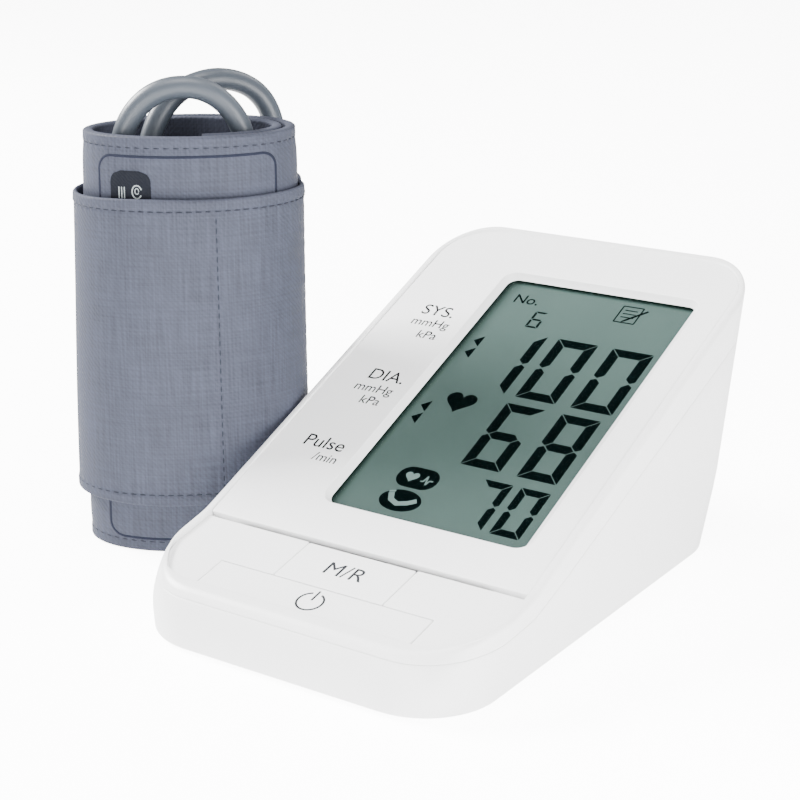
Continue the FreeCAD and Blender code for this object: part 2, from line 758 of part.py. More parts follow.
# --- cord path ------------------------------------------------------------------------------
def cord_path(points):
    """Straight runs joined by tangent arcs, as large as the two runs allow."""
    edges = []
    radii = []
    last = points[0]
    for index in range(1, len(points) - 1):
        here = points[index]
        back = points[index - 1] - here
        ahead = points[index + 1] - here
        shorter = min(back.Length, ahead.Length)
        half_turn = (math.pi - back.getAngle(ahead)) / 2
        reach = 0.45 * shorter
        radius = reach / math.tan(half_turn)
        start = here + back.normalize() * reach
        end = here + ahead.normalize() * reach
        inward = (back + ahead).normalize()
        middle = here + inward * (math.hypot(reach, radius) - radius)
        if last.distanceToPoint(start) > 1e-6:
            edges.append(Part.LineSegment(last, start).toShape())
        edges.append(Part.Arc(start, middle, end).toShape())
        last = end
        radii.append(radius)
    edges.append(Part.LineSegment(last, points[-1]).toShape())
    return Part.Wire(edges), radii


def cord_solid(points, radius):
    """Round solid along a cord path; prints its radii and checks its volume."""
    path, radii = cord_path(points)
    first = points[1] - points[0]
    circle = Part.Wire([Part.Circle(points[0], first, radius).toShape()])
    solid = path.makePipeShell([circle], True, False, 2)
    ratio = solid.Volume / (math.pi * radius ** 2 * path.Length)
    print("cord", round(path.Length, 1), "mm, volume ratio", round(ratio, 4),
          "radii", [round(value, 1) for value in radii])
    return solid


# --- rolled cuff ----------------------------------------------------------------------------
def wrap_offset(degrees):
    """How far the roll has grown outwards at a winding angle."""
    return PITCH * (degrees - WRAP_START_DEG) / 360.0


def wrap_point(degrees, offset):
    """Point at a winding angle: on the inner oval, moved out along its normal."""
    turn = math.radians(degrees)
    cosine, sine = math.cos(turn), math.sin(turn)
    normal = Vector(cosine / OVAL_A, sine / OVAL_B, 0).normalize()
    return Vector(OVAL_A * cosine + CUFF_SHIFT_X, OVAL_B * sine, 0) + normal * offset


def bulge(degrees):
    """Extra room that the tail makes as it passes over the air tube."""
    away = (degrees - TUBE_ANGLE_DEG - 360.0) / BULGE_HALF_DEG
    return BULGE * math.cos(away * math.pi / 2) ** 2 if abs(away) < 1 else 0.0


def wound_strip(start, end, inner, outer, low, high, step=9.0):
    """Strip wound round the roll between two angles and two depths."""
    count = max(3, int(round((end - start) / step)) + 1)
    angles = [start + (end - start) * index / (count - 1) for index in range(count)]
    sides = []
    for depth in (inner, outer):
        points = []
        for angle in angles:
            lift = wrap_offset(angle) + depth + bulge(angle)
            points.append(wrap_point(angle, lift) + Vector(0, 0, low))
        curve = Part.BSplineCurve()
        curve.interpolate(points)
        sides.append((curve.toShape(), points))
    (inside, inner_points), (outside, outer_points) = sides
    cap_start = Part.LineSegment(inner_points[0], outer_points[0]).toShape()
    cap_end = Part.LineSegment(inner_points[-1], outer_points[-1]).toShape()
    outline = Part.Wire(Part.__sortEdges__([inside, cap_end, outside, cap_start]))
    return Part.Face(outline).extrude(Vector(0, 0, high - low))


def cuff_cloth_layers():
    """Outer cloth, bladder, stiffening sheet and inner cloth, from outside in."""
    start, end = WRAP_START_DEG, WRAP_END_DEG
    outer = wound_strip(start, end, BODY_T - CLOTH_T, BODY_T, 0.0, CUFF_HEIGHT)
    bladder_out = BODY_T - CLOTH_T - LAYER_GAP
    margin = 8.0
    bladder_in = bladder_out - BLADDER_T
    bladder = wound_strip(
        start + 180, end - 60, bladder_in, bladder_out, margin, CUFF_HEIGHT - margin
    )
    margin = margin / 2
    sheet_out = bladder_in - LAYER_GAP
    sheet_in = sheet_out - STIFFENER_T
    sheet = wound_strip(start + 20, end - 40, sheet_in, sheet_out, margin, CUFF_HEIGHT - margin)
    inner = wound_strip(start, end, 0.0, CLOTH_T, 0.0, CUFF_HEIGHT)
    return outer, bladder, sheet, inner


def cuff_tail():
    """Narrower closing strap, once round the outside and over the tube."""
    return wound_strip(WRAP_END_DEG + 0.6, TAIL_END_DEG, 0.0, TAIL_T, TAIL_LOW, TAIL_HIGH)


def tail_tab():
    """Last stretch of the strap, which peels away."""
    return wound_strip(TAIL_END_DEG + 0.6, TAB_END_DEG, TAIL_T / 2, TAIL_T, TAIL_LOW, TAIL_HIGH)


def hook_patch():
    """Hook side of the fastener, on the inside of the tab."""
    start, end = TAIL_END_DEG + 3, TAB_END_DEG - 2
    low, high = TAIL_LOW + 4.0, TAIL_HIGH - 4.0
    return wound_strip(start, end, 0.0, TAIL_T / 2 - LAYER_GAP, low, high)


def loop_patch():
    """Loop side of the fastener, on the roll's outer cloth at the back."""
    inner = BODY_T + LAYER_GAP
    return wound_strip(62.0, 112.0, inner, inner + 0.25, TAIL_LOW + 2, TAIL_HIGH - 2)


def size_label():
    """Woven label near the top of the outer cloth."""
    start, end, low, high = LABEL
    inner = BODY_T + LAYER_GAP
    return wound_strip(start, end, inner, inner + 0.2, low, high)


def ring_sleeve():
    """Sewn sleeve that holds one long side of the ring."""
    low, high = RING_LOW + 5, RING_HIGH - 5
    return tube(RING_WIRE_R + 0.9, RING_WIRE_R + FIT_GAP, (*RING_BAR, low), (*RING_BAR, high))


def d_ring():
    """Rectangular wire ring that the strap is threaded through in use."""
    bar = Vector(*RING_BAR, RING_LOW)
    across = Vector(*RING_FAR, RING_LOW) - bar
    corners = rectangle(0, across.Length, 0, RING_HIGH - RING_LOW, RING_CORNER, RING_CORNER)
    start = Vector(0, RING_CORNER, 0)
    circle = Part.Wire([Part.Circle(start, Vector(0, 1, 0), RING_WIRE_R).toShape()])
    ring = rounded_outline(corners).makePipeShell([circle], True, False, 2)
    upright = Rotation(Vector(1, 0, 0), 90)
    heading = Rotation(Vector(0, 0, 1), math.degrees(math.atan2(across.y, across.x)))
    ring.Placement = Placement(bar, heading.multiply(upright))
    return ring


def tube_centre(z):
    """Where the air tube stands on the roll, outside the cloth and under the tail."""
    offset = wrap_offset(TUBE_ANGLE_DEG) + BODY_T + TUBE_STANDOFF
    return wrap_point(TUBE_ANGLE_DEG, offset) + Vector(0, 0, z)


def tube_port():
    """Air port welded to the cloth: a foot and an upright nozzle."""
    low = PORT_TOP - PORT_LENGTH
    post = rod(TUBE_R, tuple(tube_centre(low)), tuple(tube_centre(PORT_TOP)))
    start, end = TUBE_ANGLE_DEG - 9, TUBE_ANGLE_DEG + 9
    inner = BODY_T + LAYER_GAP
    foot = wound_strip(start, end, inner, inner + 1.25, low - 4, PORT_TOP - 2)
    return fused([post, foot])


TUBE_ROUTE = [
    (30.2, 20.6, 92.0), (30.3, 20.4, 106.0), (30.4, 20.8, 119.0), (30.9, 23.8, 129.6),
    (27.7, 24.4, 139.6), (20.4, 21.8, 146.0), (9.0, 16.6, 148.2), (-3.2, 11.2, 143.6),
    (-11.2, 8.0, 129.4), (-11.6, 7.4, 111.0), (-5.6, 7.2, 94.0), (4.0, 7.0, 77.6),
    (13.2, 6.2, 60.0), (18.2, 4.8, 41.0), (18.2, 2.6, 21.6), (7.4, -0.6, 5.6),
    (-9.4, -3.6, 4.4), (-20.6, -5.8, 18.0), (-21.8, -6.6, 37.0), (-20.2, -6.8, 57.0),
    (-20.2, -6.4, 78.0), (-18.8, -6.2, 99.0), (-19.2, -6.6, 119.0), (-18.8, -7.0, 136.4),
    (-7.8, -7.2, 148.5), (8.6, -6.6, 148.6), (19.6, -5.8, 136.6), (19.8, -5.4, 119.6),
    (18.8, -5.4, 103.0), (17.4, -5.6, 88.0),
]


def tube_points():
    """The air tube's route: out of the port, over the rim, down, round and back up."""
    straight = [tube_centre(PORT_TOP), tube_centre(PORT_TOP + 16)]
    return straight + [Vector(*point) for point in TUBE_ROUTE]


def air_tube():
    """The cuff's air tube."""
    return cord_solid(tube_points(), TUBE_R)


def plug_axis():
    """End of the tube and the direction it leaves in."""
    points = tube_points()
    return points[-1], (points[-1] - points[-2]).normalize()


def air_plug():
    """Plug on the end of the tube: collar, grip and tapered nose."""
    end, along = plug_axis()
    nose_r = SOCKET_BORE_R - 0.25
    grip = Part.makeCylinder(PLUG_R, PLUG_LENGTH / 2, end, along)
    nose_start = end + along * (PLUG_LENGTH / 2)
    nose = Part.makeCylinder(nose_r, PLUG_LENGTH / 2, nose_start, along)
    groove_at = nose_start + along * (PLUG_LENGTH / 4)
    groove = Part.makeCylinder(nose_r + 1, 1.6, groove_at, along)
    groove = groove.cut(Part.makeCylinder(nose_r - 0.8, 1.6, groove_at, along))
    return fused([grip, nose]).cut(groove)


def plug_seal():
    """Rubber ring in the plug's groove."""
    end, along = plug_axis()
    nose_r = SOCKET_BORE_R - 0.25
    at = end + along * (PLUG_LENGTH * 3 / 4 + 0.1)
    seal = Part.makeCylinder(nose_r + 0.2, 1.4, at, along)
    return seal.cut(Part.makeCylinder(nose_r - 0.78, 1.4, at, along))


# --- putting it together ------------------------------------------------------------------------
UNIT_PLACE = Placement(Vector(UNIT_AT[0], UNIT_AT[1], 0), Rotation())
CUFF_PLACE = Placement(
    Vector(UNIT_AT[0] + CUFF_AT[0], UNIT_AT[1] + CUFF_AT[1], 0),
    Rotation(Vector(0, 0, 1), CUFF_TURN_DEG),
)


def keep(name, shape, place):
    """Set a finished sub-part down in the assembly's frame."""
    moved = shape.copy()
    moved.Placement = place.multiply(moved.Placement)
    NODES[name] = moved


def build_unit():
    """All pieces of the display unit."""
    shell = case_shell()
    lower = lower_region()
    memory, power = key_centres()
    left_wing, right_wing = key_wings()
    pieces = {
        "top_shell": top_shell(shell, lower),
        "bottom_shell": bottom_shell(shell, lower),
        "face_plate": face_plate(),
        "display_lens": display_lens(),
        "display_glass": display_glass(),
        "display_holder": display_holder(),
        "contact_strip": contact_strip(),
        "main_board": main_board(),
        "board_screws": board_screws(),
        "controller_chip": board_part(*CHIP_AT, 14, 14, 1.6),
        "pressure_sensor": pressure_sensor(),
        "beeper": beeper(),
        "left_wing": left_wing,
        "right_wing": right_wing,
        "memory_key": key_cap(MEMORY_KEY, memory),
        "power_key": key_cap(POWER_KEY, power),
        "memory_plunger": plunger(memory),
        "power_plunger": plunger(power),
        "tact_switches": tact_switches(),
        "key_board": key_board(),
        "battery_tray": battery_tray(),
        "batteries": batteries(),
        "battery_springs": battery_springs(),
        "battery_contacts": battery_contacts(),
        "battery_cover": battery_cover(),
        "cover_hinge_pin": hinge_rod(HINGE_PIN_R - 0.02, HINGE_PIN_HALF - SHELL_GAP),
        "air_socket": air_socket(),
        "dc_jack": dc_jack(),
        "pump_motor": pump_motor(),
        "motor_shaft": motor_shaft(),
        "pump_head": pump_head(),
        "pump_cradle": pump_cradle(),
        "valve_body": valve_body(),
        "valve_plunger": valve_plunger(),
        "manifold": manifold(),
        "case_screws": case_screws(),
        "rubber_feet": rubber_feet(),
    }
    pieces.update(inner_hoses())
    for name, shape in pieces.items():
        keep(name, shape, UNIT_PLACE)


def build_cuff():
    """All pieces of the rolled cuff."""
    outer, bladder, sheet, inner = cuff_cloth_layers()
    pieces = {
        "cuff_outer_cloth": outer,
        "cuff_bladder": bladder,
        "cuff_stiffener": sheet,
        "cuff_inner_cloth": inner,
        "cuff_tail": cuff_tail(),
        "tail_tab": tail_tab(),
        "hook_patch": hook_patch(),
        "loop_patch": loop_patch(),
        "size_label": size_label(),
        "ring_sleeve": ring_sleeve(),
        "d_ring": d_ring(),
        "tube_port": tube_port(),
        "air_tube": air_tube(),
        "air_plug": air_plug(),
        "plug_seal": plug_seal(),
    }
    for name, shape in pieces.items():
        keep(name, shape, CUFF_PLACE)


def main():
    """Build every sub-part and write one STEP file for each."""
    os.makedirs("parts", exist_ok=True)
    build_unit()
    build_cuff()
    whole = FreeCAD.BoundBox()
    for name, shape in NODES.items():
        if not shape.isValid():
            print("not valid:", name)
        shape.exportStep(f"parts/{name}.step")
        if name not in ("air_tube", "air_plug", "plug_seal"):
            whole.add(shape.BoundBox)
    print(len(NODES), "nodes, bounds", whole)


main()
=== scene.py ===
# %% [markdown]
# A desktop blood pressure monitor and its rolled cuff, dressed for a studio picture.
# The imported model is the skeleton: it says where everything is and what moves.
# We load it first and never move it. Each visible piece is then either a model node
# with a better finish, or a smoother surface of our own that stands in for the node.

# %% load the frame
import json

import bpy
import numpy as np
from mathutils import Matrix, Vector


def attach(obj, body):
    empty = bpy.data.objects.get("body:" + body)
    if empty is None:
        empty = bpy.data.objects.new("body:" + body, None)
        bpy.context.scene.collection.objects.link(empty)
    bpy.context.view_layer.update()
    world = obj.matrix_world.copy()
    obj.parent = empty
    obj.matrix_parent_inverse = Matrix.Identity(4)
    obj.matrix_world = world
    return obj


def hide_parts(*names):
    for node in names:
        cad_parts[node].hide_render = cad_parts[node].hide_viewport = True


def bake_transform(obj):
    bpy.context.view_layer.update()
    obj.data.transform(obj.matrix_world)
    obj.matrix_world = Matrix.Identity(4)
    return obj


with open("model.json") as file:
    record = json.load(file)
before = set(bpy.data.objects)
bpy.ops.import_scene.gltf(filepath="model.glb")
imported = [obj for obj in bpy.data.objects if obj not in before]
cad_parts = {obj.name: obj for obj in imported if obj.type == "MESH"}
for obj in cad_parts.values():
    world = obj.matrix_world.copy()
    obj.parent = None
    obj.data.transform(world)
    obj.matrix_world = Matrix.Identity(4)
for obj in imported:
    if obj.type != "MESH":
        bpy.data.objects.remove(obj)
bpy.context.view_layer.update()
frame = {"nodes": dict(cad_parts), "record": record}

# %% [markdown]
# Everything on the display unit is laid out on three slanted planes: the face, the key
# panel and the rear wall. If we can turn "so far across, so far up, so far out" into a
# place in the scene, every later step can be written in the plane's own millimetres.
# The rolled cuff has its own frame too, turned a little on the table.

# %% places: millimetres in, scene metres out
MM = 0.001
UNIT_AT = np.array([34.0, -53.9, 0.0])
CUFF_AT = np.array([-60.0, -17.4, 0.0])
CUFF_TURN = np.radians(41.0)
FACE_TILT, FACE_Z = np.radians(23.6), 25.5
PANEL_TILT, PANEL_Z = np.radians(12.5), 24.6
REAR_LEAN, REAR_FOOT_Y = np.radians(14.0), 124.2


def stack(x, y, z):
    """Three coordinates, broadcast together, as points along a last axis."""
    return np.stack(np.broadcast_arrays(x, y, z), axis=-1).astype(float)


def unit_point(x, y, z):
    """Point of the display unit: its own millimetres plus where the unit stands."""
    return (stack(x, y, z) + UNIT_AT) * MM


def tilted_point(u, v, w, tilt, rise):
    """Point of a plane turned by tilt about X: v runs up the slope, w straight out of it."""
    y = v * np.cos(tilt) - w * np.sin(tilt)
    return unit_point(u, y, rise + v * np.sin(tilt) + w * np.cos(tilt))


def face_point(u, v, w):
    """Point of the sloping face."""
    return tilted_point(u, v, w, FACE_TILT, FACE_Z)


def panel_point(u, v, w):
    """Point of the key panel."""
    return tilted_point(u, v, w, PANEL_TILT, PANEL_Z)


def rear_point(x, n, s):
    """Point of the leaning rear wall: n out of the wall, s up it."""
    y = REAR_FOOT_Y + n * np.cos(REAR_LEAN) + s * np.sin(REAR_LEAN)
    return unit_point(x, y, s * np.cos(REAR_LEAN) - n * np.sin(REAR_LEAN))


def cuff_point(x, y, z):
    """Point of the cuff: turned about the upright axis, then moved to its place."""
    across = x * np.cos(CUFF_TURN) - y * np.sin(CUFF_TURN)
    along = x * np.sin(CUFF_TURN) + y * np.cos(CUFF_TURN)
    return (stack(across, along, z) + CUFF_AT) * MM


print("face centre", face_point(0.0, 78.0, 0.0))

# %% [markdown]
# The camera comes before the shapes, so that every later choice can be judged through it.
# It looks down at 18 degrees from the front right corner, with a long lens.

# %% camera
CAMERA_AT = (0.3161, -0.4500, 0.2295)
CAMERA_AZIMUTH, CAMERA_DIP = np.radians(34.11), np.radians(18.0)
camera_data = bpy.data.cameras.new("studio_camera")
camera_data.sensor_width = 36.0
camera_data.lens = 81.5
camera = bpy.data.objects.new("studio_camera", camera_data)
camera.location = CAMERA_AT
camera.rotation_euler = (np.pi / 2 - CAMERA_DIP, 0.0, CAMERA_AZIMUTH)
bpy.context.scene.collection.objects.link(camera)
bpy.context.scene.camera = camera
print("lens", camera_data.lens, "mm at", CAMERA_AT)

# %% [markdown]
# The air tube is a limp 7 mm rubber hose. It leaves a port sewn to the cuff, climbs behind
# the roll, hops over the rim, dives into the hollow, turns, comes up in front as a second
# arch and ends in its plug. A smooth curve through a few control points bends
# the way rubber does, so a NURBS spline is used and given a round section.

# %% the tube's route, in the cuff's own frame, in metres
TUBE_RADIUS = 0.0035
PORT = (0.03032, 0.02055)
TUBE_ROUTE = [
    (*PORT, 0.062), (*PORT, 0.078), (0.0302, 0.0206, 0.0920), (0.0303, 0.0204, 0.1060),
    (0.0304, 0.0208, 0.1190), (0.0309, 0.0238, 0.1296), (0.0277, 0.0244, 0.1396),
    (0.0204, 0.0218, 0.1460), (0.0090, 0.0166, 0.1482), (-0.0032, 0.0112, 0.1436),
    (-0.0112, 0.0080, 0.1294), (-0.0116, 0.0074, 0.1110), (-0.0056, 0.0072, 0.0940),
    (0.0040, 0.0070, 0.0776), (0.0132, 0.0062, 0.0600), (0.0182, 0.0048, 0.0410),
    (0.0182, 0.0026, 0.0216), (0.0074, -0.0006, 0.0056), (-0.0094, -0.0036, 0.0044),
    (-0.0206, -0.0058, 0.0180), (-0.0218, -0.0066, 0.0370), (-0.0202, -0.0068, 0.0570),
    (-0.0202, -0.0064, 0.0780), (-0.0188, -0.0062, 0.0990), (-0.0192, -0.0066, 0.1190),
    (-0.0188, -0.0070, 0.1364), (-0.0078, -0.0072, 0.1485), (0.0086, -0.0066, 0.1486),
    (0.0196, -0.0058, 0.1366), (0.0198, -0.0054, 0.1196), (0.0188, -0.0054, 0.1030),
    (0.0174, -0.0056, 0.0880),
]


def tube_curve(name, route, radius):
    """Round hose on one open quadratic NURBS spline over the route's control points.

    The points carry the radius and the bevel is 1, because a curve's box grows by its points' radius.
    """
    curve = bpy.data.curves.new(name, "CURVE")
    curve.dimensions = "3D"
    curve.bevel_depth = 1.0
    curve.bevel_resolution = 7
    curve.use_fill_caps = True
    spline = curve.splines.new("NURBS")
    spline.points.add(len(route) - 1)
    placed = cuff_point(*(np.array(route).T / MM))
    spline.points.foreach_set("co", np.c_[placed, np.ones(len(route))].ravel())
    spline.points.foreach_set("radius", np.full(len(route), radius))
    spline.order_u = 3
    spline.use_endpoint_u = True
    spline.resolution_u = 12
    piece = bpy.data.objects.new(name, curve)
    bpy.context.scene.collection.objects.link(piece)
    return piece, placed


air_tube, tube_places = tube_curve("air_hose", TUBE_ROUTE, TUBE_RADIUS)
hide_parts("air_tube")
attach(air_tube, "cuff")
print("tube control points:", len(TUBE_ROUTE))

# %% [markdown]
# Nearly every piece below is a grid of points bent into shape: rows by columns, with the
# rows or the columns closed into a ring where the form closes. One helper turns such a
# grid into a mesh, caps its open ends and lays a UV map on it when the finish needs one.

# %% grids become meshes
def surface(name, points, ring_rows=False, ring_columns=False, caps=True, flip=False, uv=None):
    """Mesh of rows x columns x 3 points: each small square of neighbours is one face."""
    rows, columns = points.shape[:2]
    index = np.arange(rows * columns).reshape(rows, columns)
    if ring_rows:
        index = np.vstack([index, index[:1]])
    if ring_columns:
        index = np.hstack([index, index[:, :1]])
    corners = (index[:-1, :-1], index[:-1, 1:], index[1:, 1:], index[1:, :-1])
    faces = np.stack(corners, axis=-1).reshape(-1, 4).tolist()
    if caps and ring_columns and not ring_rows:
        faces += [index[0, :columns][::-1].tolist(), index[-1, :columns].tolist()]
    if flip:
        faces = [face[::-1] for face in faces]
    mesh = bpy.data.meshes.new(name)
    mesh.from_pydata(points.reshape(-1, 3), [], faces)
    mesh.polygons.foreach_set("use_smooth", np.ones(len(faces), bool))
    if uv is not None:
        loops = np.zeros(len(mesh.loops), int)
        mesh.loops.foreach_get("vertex_index", loops)
        layer = mesh.uv_layers.new(name="cloth")
        layer.data.foreach_set("uv", uv.reshape(-1, 2)[loops].ravel())
    mesh.update()
    piece = bpy.data.objects.new(name, mesh)
    bpy.context.scene.collection.objects.link(piece)
    return piece


def keep(piece, body, slot, *nodes):
    """The piece rides on a body and stands for the named nodes; its slot is not used."""
    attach(piece, body)
    if nodes:
        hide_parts(*nodes)
    print(piece.name, "faces", len(piece.data.polygons), "on", body)
    return piece


# %% [markdown]
# The case is a soft wedge. Seen from above it is a rectangle with round corners, and that
# outline grows, leans and shrinks with height. Both halves and the plates on them use the
# same outline with other numbers, so it is worked out once, as points that know which
# corner or side they belong to.

# %% the rounded outline
def loop_samples(arc=14, across=28, along=70):
    """Where each outline point sits: its place along the sides, and its angle on a corner."""
    turns = np.linspace(0, np.pi / 2, arc, endpoint=False)
    blocks = []
    sides = [((-1, -1), (1, -1), across), ((1, -1), (1, 1), along),
             ((1, 1), (-1, 1), across), ((-1, 1), (-1, -1), along)]
    for number, (start, end, count) in enumerate(sides):
        facing = (number - 1) * np.pi / 2
        part = np.linspace(0, 1, count, endpoint=False)
        p = start[0] + (end[0] - start[0]) * part
        q = start[1] + (end[1] - start[1]) * part
        blocks.append(np.stack([p, q, np.full(count, facing)]))
        corner = np.ones(arc)
        blocks.append(np.stack([corner * end[0], corner * end[1], facing + turns]))
    return np.concatenate(blocks, axis=1)


SAMPLES = loop_samples()


def outline(x0, x1, y0, y1, front_r, rear_r, squeeze=1.0, samples=SAMPLES):
    """Rounded rectangle: each corner's centre lies one radius inside, and the arc turns on it."""
    p, q, angle = samples
    radius = np.where(q < 0, front_r, rear_r)
    low, high = y0 + front_r * squeeze, y1 - rear_r * squeeze
    x = x0 + radius + (p + 1) / 2 * (x1 - x0 - 2 * radius) + radius * np.cos(angle)
    y = low + (q + 1) / 2 * (high - low) + radius * squeeze * np.sin(angle)
    return x, y


print("points round an outline:", SAMPLES.shape[1])

# %% the case's own measures
HALF_WIDTH, FRONT_Y, WALL, FLOOR_Z = 59.0, -40.5, 2.2, 0.8
FRONT_R, REAR_R, EDGE_R = 23.0, 19.0, 1.2
DRAFT_HEIGHT, SIDE_DRAFT = 24.0, 2.0
FRONT_LEAN, LEAN_FROM, LEAN_TO = 7.4, 6.8, 21.0
RIM_PROUD, PANEL_DROP, SEAM_Z = 0.5, 0.9, 18.9


def case_outline(z, inset):
    """The case's outline at a height: sides drawn in below, front curved back, rear leaning."""
    rest = 1 - np.clip((z - FLOOR_Z) / DRAFT_HEIGHT, 0, 1)
    half = HALF_WIDTH - SIDE_DRAFT * rest - inset
    front = FRONT_Y + FRONT_LEAN * np.clip((z - LEAN_FROM) / (LEAN_TO - LEAN_FROM), 0, 1) ** 2 + inset
    rear = REAR_FOOT_Y + np.tan(REAR_LEAN) * z - inset
    return outline(-half, half, front, rear, FRONT_R - inset, REAR_R - inset)


def face_height(y, w):
    """Height of the plane that lies w above the sloping face."""
    return FACE_Z + y * np.tan(FACE_TILT) + w / np.cos(FACE_TILT)


def panel_height(y, w):
    """Height of the plane that lies w above the key panel."""
    return PANEL_Z + y * np.tan(PANEL_TILT) + w / np.cos(PANEL_TILT)


def rim_height(y):
    """Top of the rim: the higher of the two slopes, with the change between them eased."""
    face, panel = face_height(y, RIM_PROUD), panel_height(y, RIM_PROUD + PANEL_DROP)
    return (face + panel) / 2 + np.sqrt(((face - panel) / 2) ** 2 + 0.04)


def seam_height(y):
    """Parting line: it climbs with the face and lies flatter round the front."""
    slope = np.where(y > 0, 0.39, 0.09)
    return SEAM_Z + slope * y


def case_row(inset, height):
    """One ring of the case: the outline at the height that its own points ask for."""
    z = np.full(SAMPLES.shape[1], 20.0)
    for _ in range(10):
        x, y = case_outline(z, inset)
        z = np.broadcast_to(height(y), z.shape)
    return stack(x, y, z)


print("rim at the front, the kink and the rear:", rim_height(np.array([-40.0, 0.0, 140.0])))

# %% [markdown]
# The lower half is a tray. Its skin runs from the floor, round the soft bottom edge and up
# the wall to the parting line, where a fine bevel makes the thin shadow line that any two
# moulded halves show. It then turns inwards and comes back down the inside, so the wall
# has a real thickness and the battery bay can be opened.

# %% lower half
def at(z):
    """Height rule of a level ring."""
    return lambda y: z + 0 * y


def under_seam(gap, part=1.0, base=FLOOR_Z + EDGE_R):
    """Height rule of a ring part of the way up to the parting line."""
    return lambda y: base + (seam_height(y) - gap - base) * part


turns = np.linspace(0, np.pi / 2, 9)
lower_rows = [case_row(EDGE_R * (1 - np.sin(t)), at(FLOOR_Z + EDGE_R * (1 - np.cos(t)))) for t in turns]
lower_rows += [case_row(0.0, under_seam(0.22, part)) for part in np.linspace(0.1, 1, 10)]
lower_rows += [case_row(0.06, under_seam(0.1)), case_row(0.4, under_seam(0.06))]
lower_rows += [case_row(WALL, under_seam(0.06))]
lower_rows += [case_row(WALL, under_seam(0.06, part, FLOOR_Z + WALL)) for part in (0.6, 0.3, 0.0)]
lower_grid = (np.array(lower_rows) + UNIT_AT) * MM
case_lower = surface("case_lower", lower_grid, ring_columns=True)


def block(name, place, x, n, s):
    """Box between two values on each axis of one of the slanted frames."""
    ring = [(0, 0), (1, 0), (1, 1), (0, 1)]
    grid = [[place(np.array(x[i]), np.array(n[j]), np.array(height)) for i, j in ring] for height in s]
    piece = surface(name, np.array(grid), ring_columns=True)
    piece.data.polygons.foreach_set("use_smooth", np.zeros(len(piece.data.polygons), bool))
    return piece


def barrel(name, place, x, y, radius, low, high):
    """Round bar between two heights of a frame, for boring holes."""
    around = np.linspace(0, 2 * np.pi, 40, endpoint=False)
    rings = [place(x + radius * np.cos(around), y + radius * np.sin(around), level) for level in (low, high)]
    return surface(name, np.array(rings), ring_columns=True)


def carve(piece, cutters):
    """Take the cutters' forms out of the piece, keep the result and drop the cutters."""
    for cutter in cutters:
        step = piece.modifiers.new("carve", "BOOLEAN")
        step.operation = "DIFFERENCE"
        step.solver = "EXACT"
        step.object = cutter
    graph = bpy.context.evaluated_depsgraph_get()
    carved = bpy.data.meshes.new_from_object(piece.evaluated_get(graph))
    piece.modifiers.clear()
    piece.data = carved
    for cutter in cutters:
        bpy.data.objects.remove(cutter)
    piece.data.set_sharp_from_angle(angle=np.radians(40))
    return piece


# %% openings in the lower half
DOOR_HALF, DOOR_LOW, DOOR_HIGH = 29.9, 5.2, 60.3
SOCKET_Y, SOCKET_Z, SOCKET_R = -12.0, 10.0, 6.2
JACK_Y, JACK_Z = 84.0, 15.0


def from_left(y, z, x):
    """The left wall's frame, whose third axis runs along X, for holes bored through it."""
    return unit_point(x, y, z)


doorway = block("doorway", rear_point, (-DOOR_HALF, DOOR_HALF), (-6.0, 5.0), (DOOR_LOW, DOOR_HIGH))
socket_hole = barrel("socket_hole", from_left, SOCKET_Y, SOCKET_Z, SOCKET_R, -62.0, -50.0)
jack_hole = block(
    "jack_hole", unit_point, (-62.0, -50.0), (JACK_Y - 5.6, JACK_Y + 5.6), (JACK_Z - 4.6, JACK_Z + 4.6)
)
carve(case_lower, [doorway, socket_hole, jack_hole])
keep(case_lower, "display_unit", "case_white", "bottom_shell")

# %% [markdown]
# The upper half is a frame: a wall, a softly rounded rim, and a sunk ledge that the face
# plate and the keys lie on. It is one closed ring of cross-sections. Towards the inside
# the outline changes from the case's own to the plates' outline, row by row.

# %% upper half
FACE_HALF, FACE_LENGTH, PANEL_FRONT = 56.2, 156.4, -32.2
SEAT_GAP = 0.25
LEDGE_FACE, LEDGE_KEYS, LEDGE_T = -2.5, -3.8, 1.6


def over_seam(gap, part=0.0):
    """Height rule of a ring part of the way from the parting line to the rim."""
    return lambda y: (seam_height(y) + gap) * (1 - part) + (rim_height(y) - edge_radius(y)) * part


def edge_radius(y):
    """Rim rounding: a little tighter round the front, where the rim is narrow."""
    past = np.clip((-8 - y) / 24, 0, 1)
    return 1.7 - 0.7 * past * past * (3 - 2 * past)


def rim_row(turn):
    """Ring on the rim's rounding: inset and drop follow a quarter circle."""
    z = np.full(SAMPLES.shape[1], 30.0)
    y = np.zeros_like(z)
    for _ in range(12):
        radius = edge_radius(y)
        x, y = case_outline(z, radius * (1 - np.cos(turn)))
        z = rim_height(y) - radius * (1 - np.sin(turn))
    return stack(x, y, z)


def seat_plan(inset):
    """The plates' outline from above: slanted, so it is shorter from front to rear."""
    front = (PANEL_FRONT - SEAT_GAP) * np.cos(PANEL_TILT) + inset
    rear = (FACE_LENGTH + SEAT_GAP) * np.cos(FACE_TILT) - inset
    half = FACE_HALF + SEAT_GAP - inset
    return outline(-half, half, front, rear, 17.2 - inset, 16.7 - inset, 0.95)


def ledge_height(y, deeper):
    """Height of the sunk ledge under the plates."""
    return np.where(y > 0, face_height(y, LEDGE_FACE - deeper), panel_height(y, LEDGE_KEYS - deeper))


def seat_row(inset, height):
    """Ring on the plates' outline at a height rule."""
    x, y = seat_plan(inset)
    return stack(x, y, height(y))


def between(first, second, part):
    """Ring between two rings, laid on the rim's top."""
    mixed = first * (1 - part) + second * part
    mixed[:, 2] = rim_height(mixed[:, 1])
    return mixed


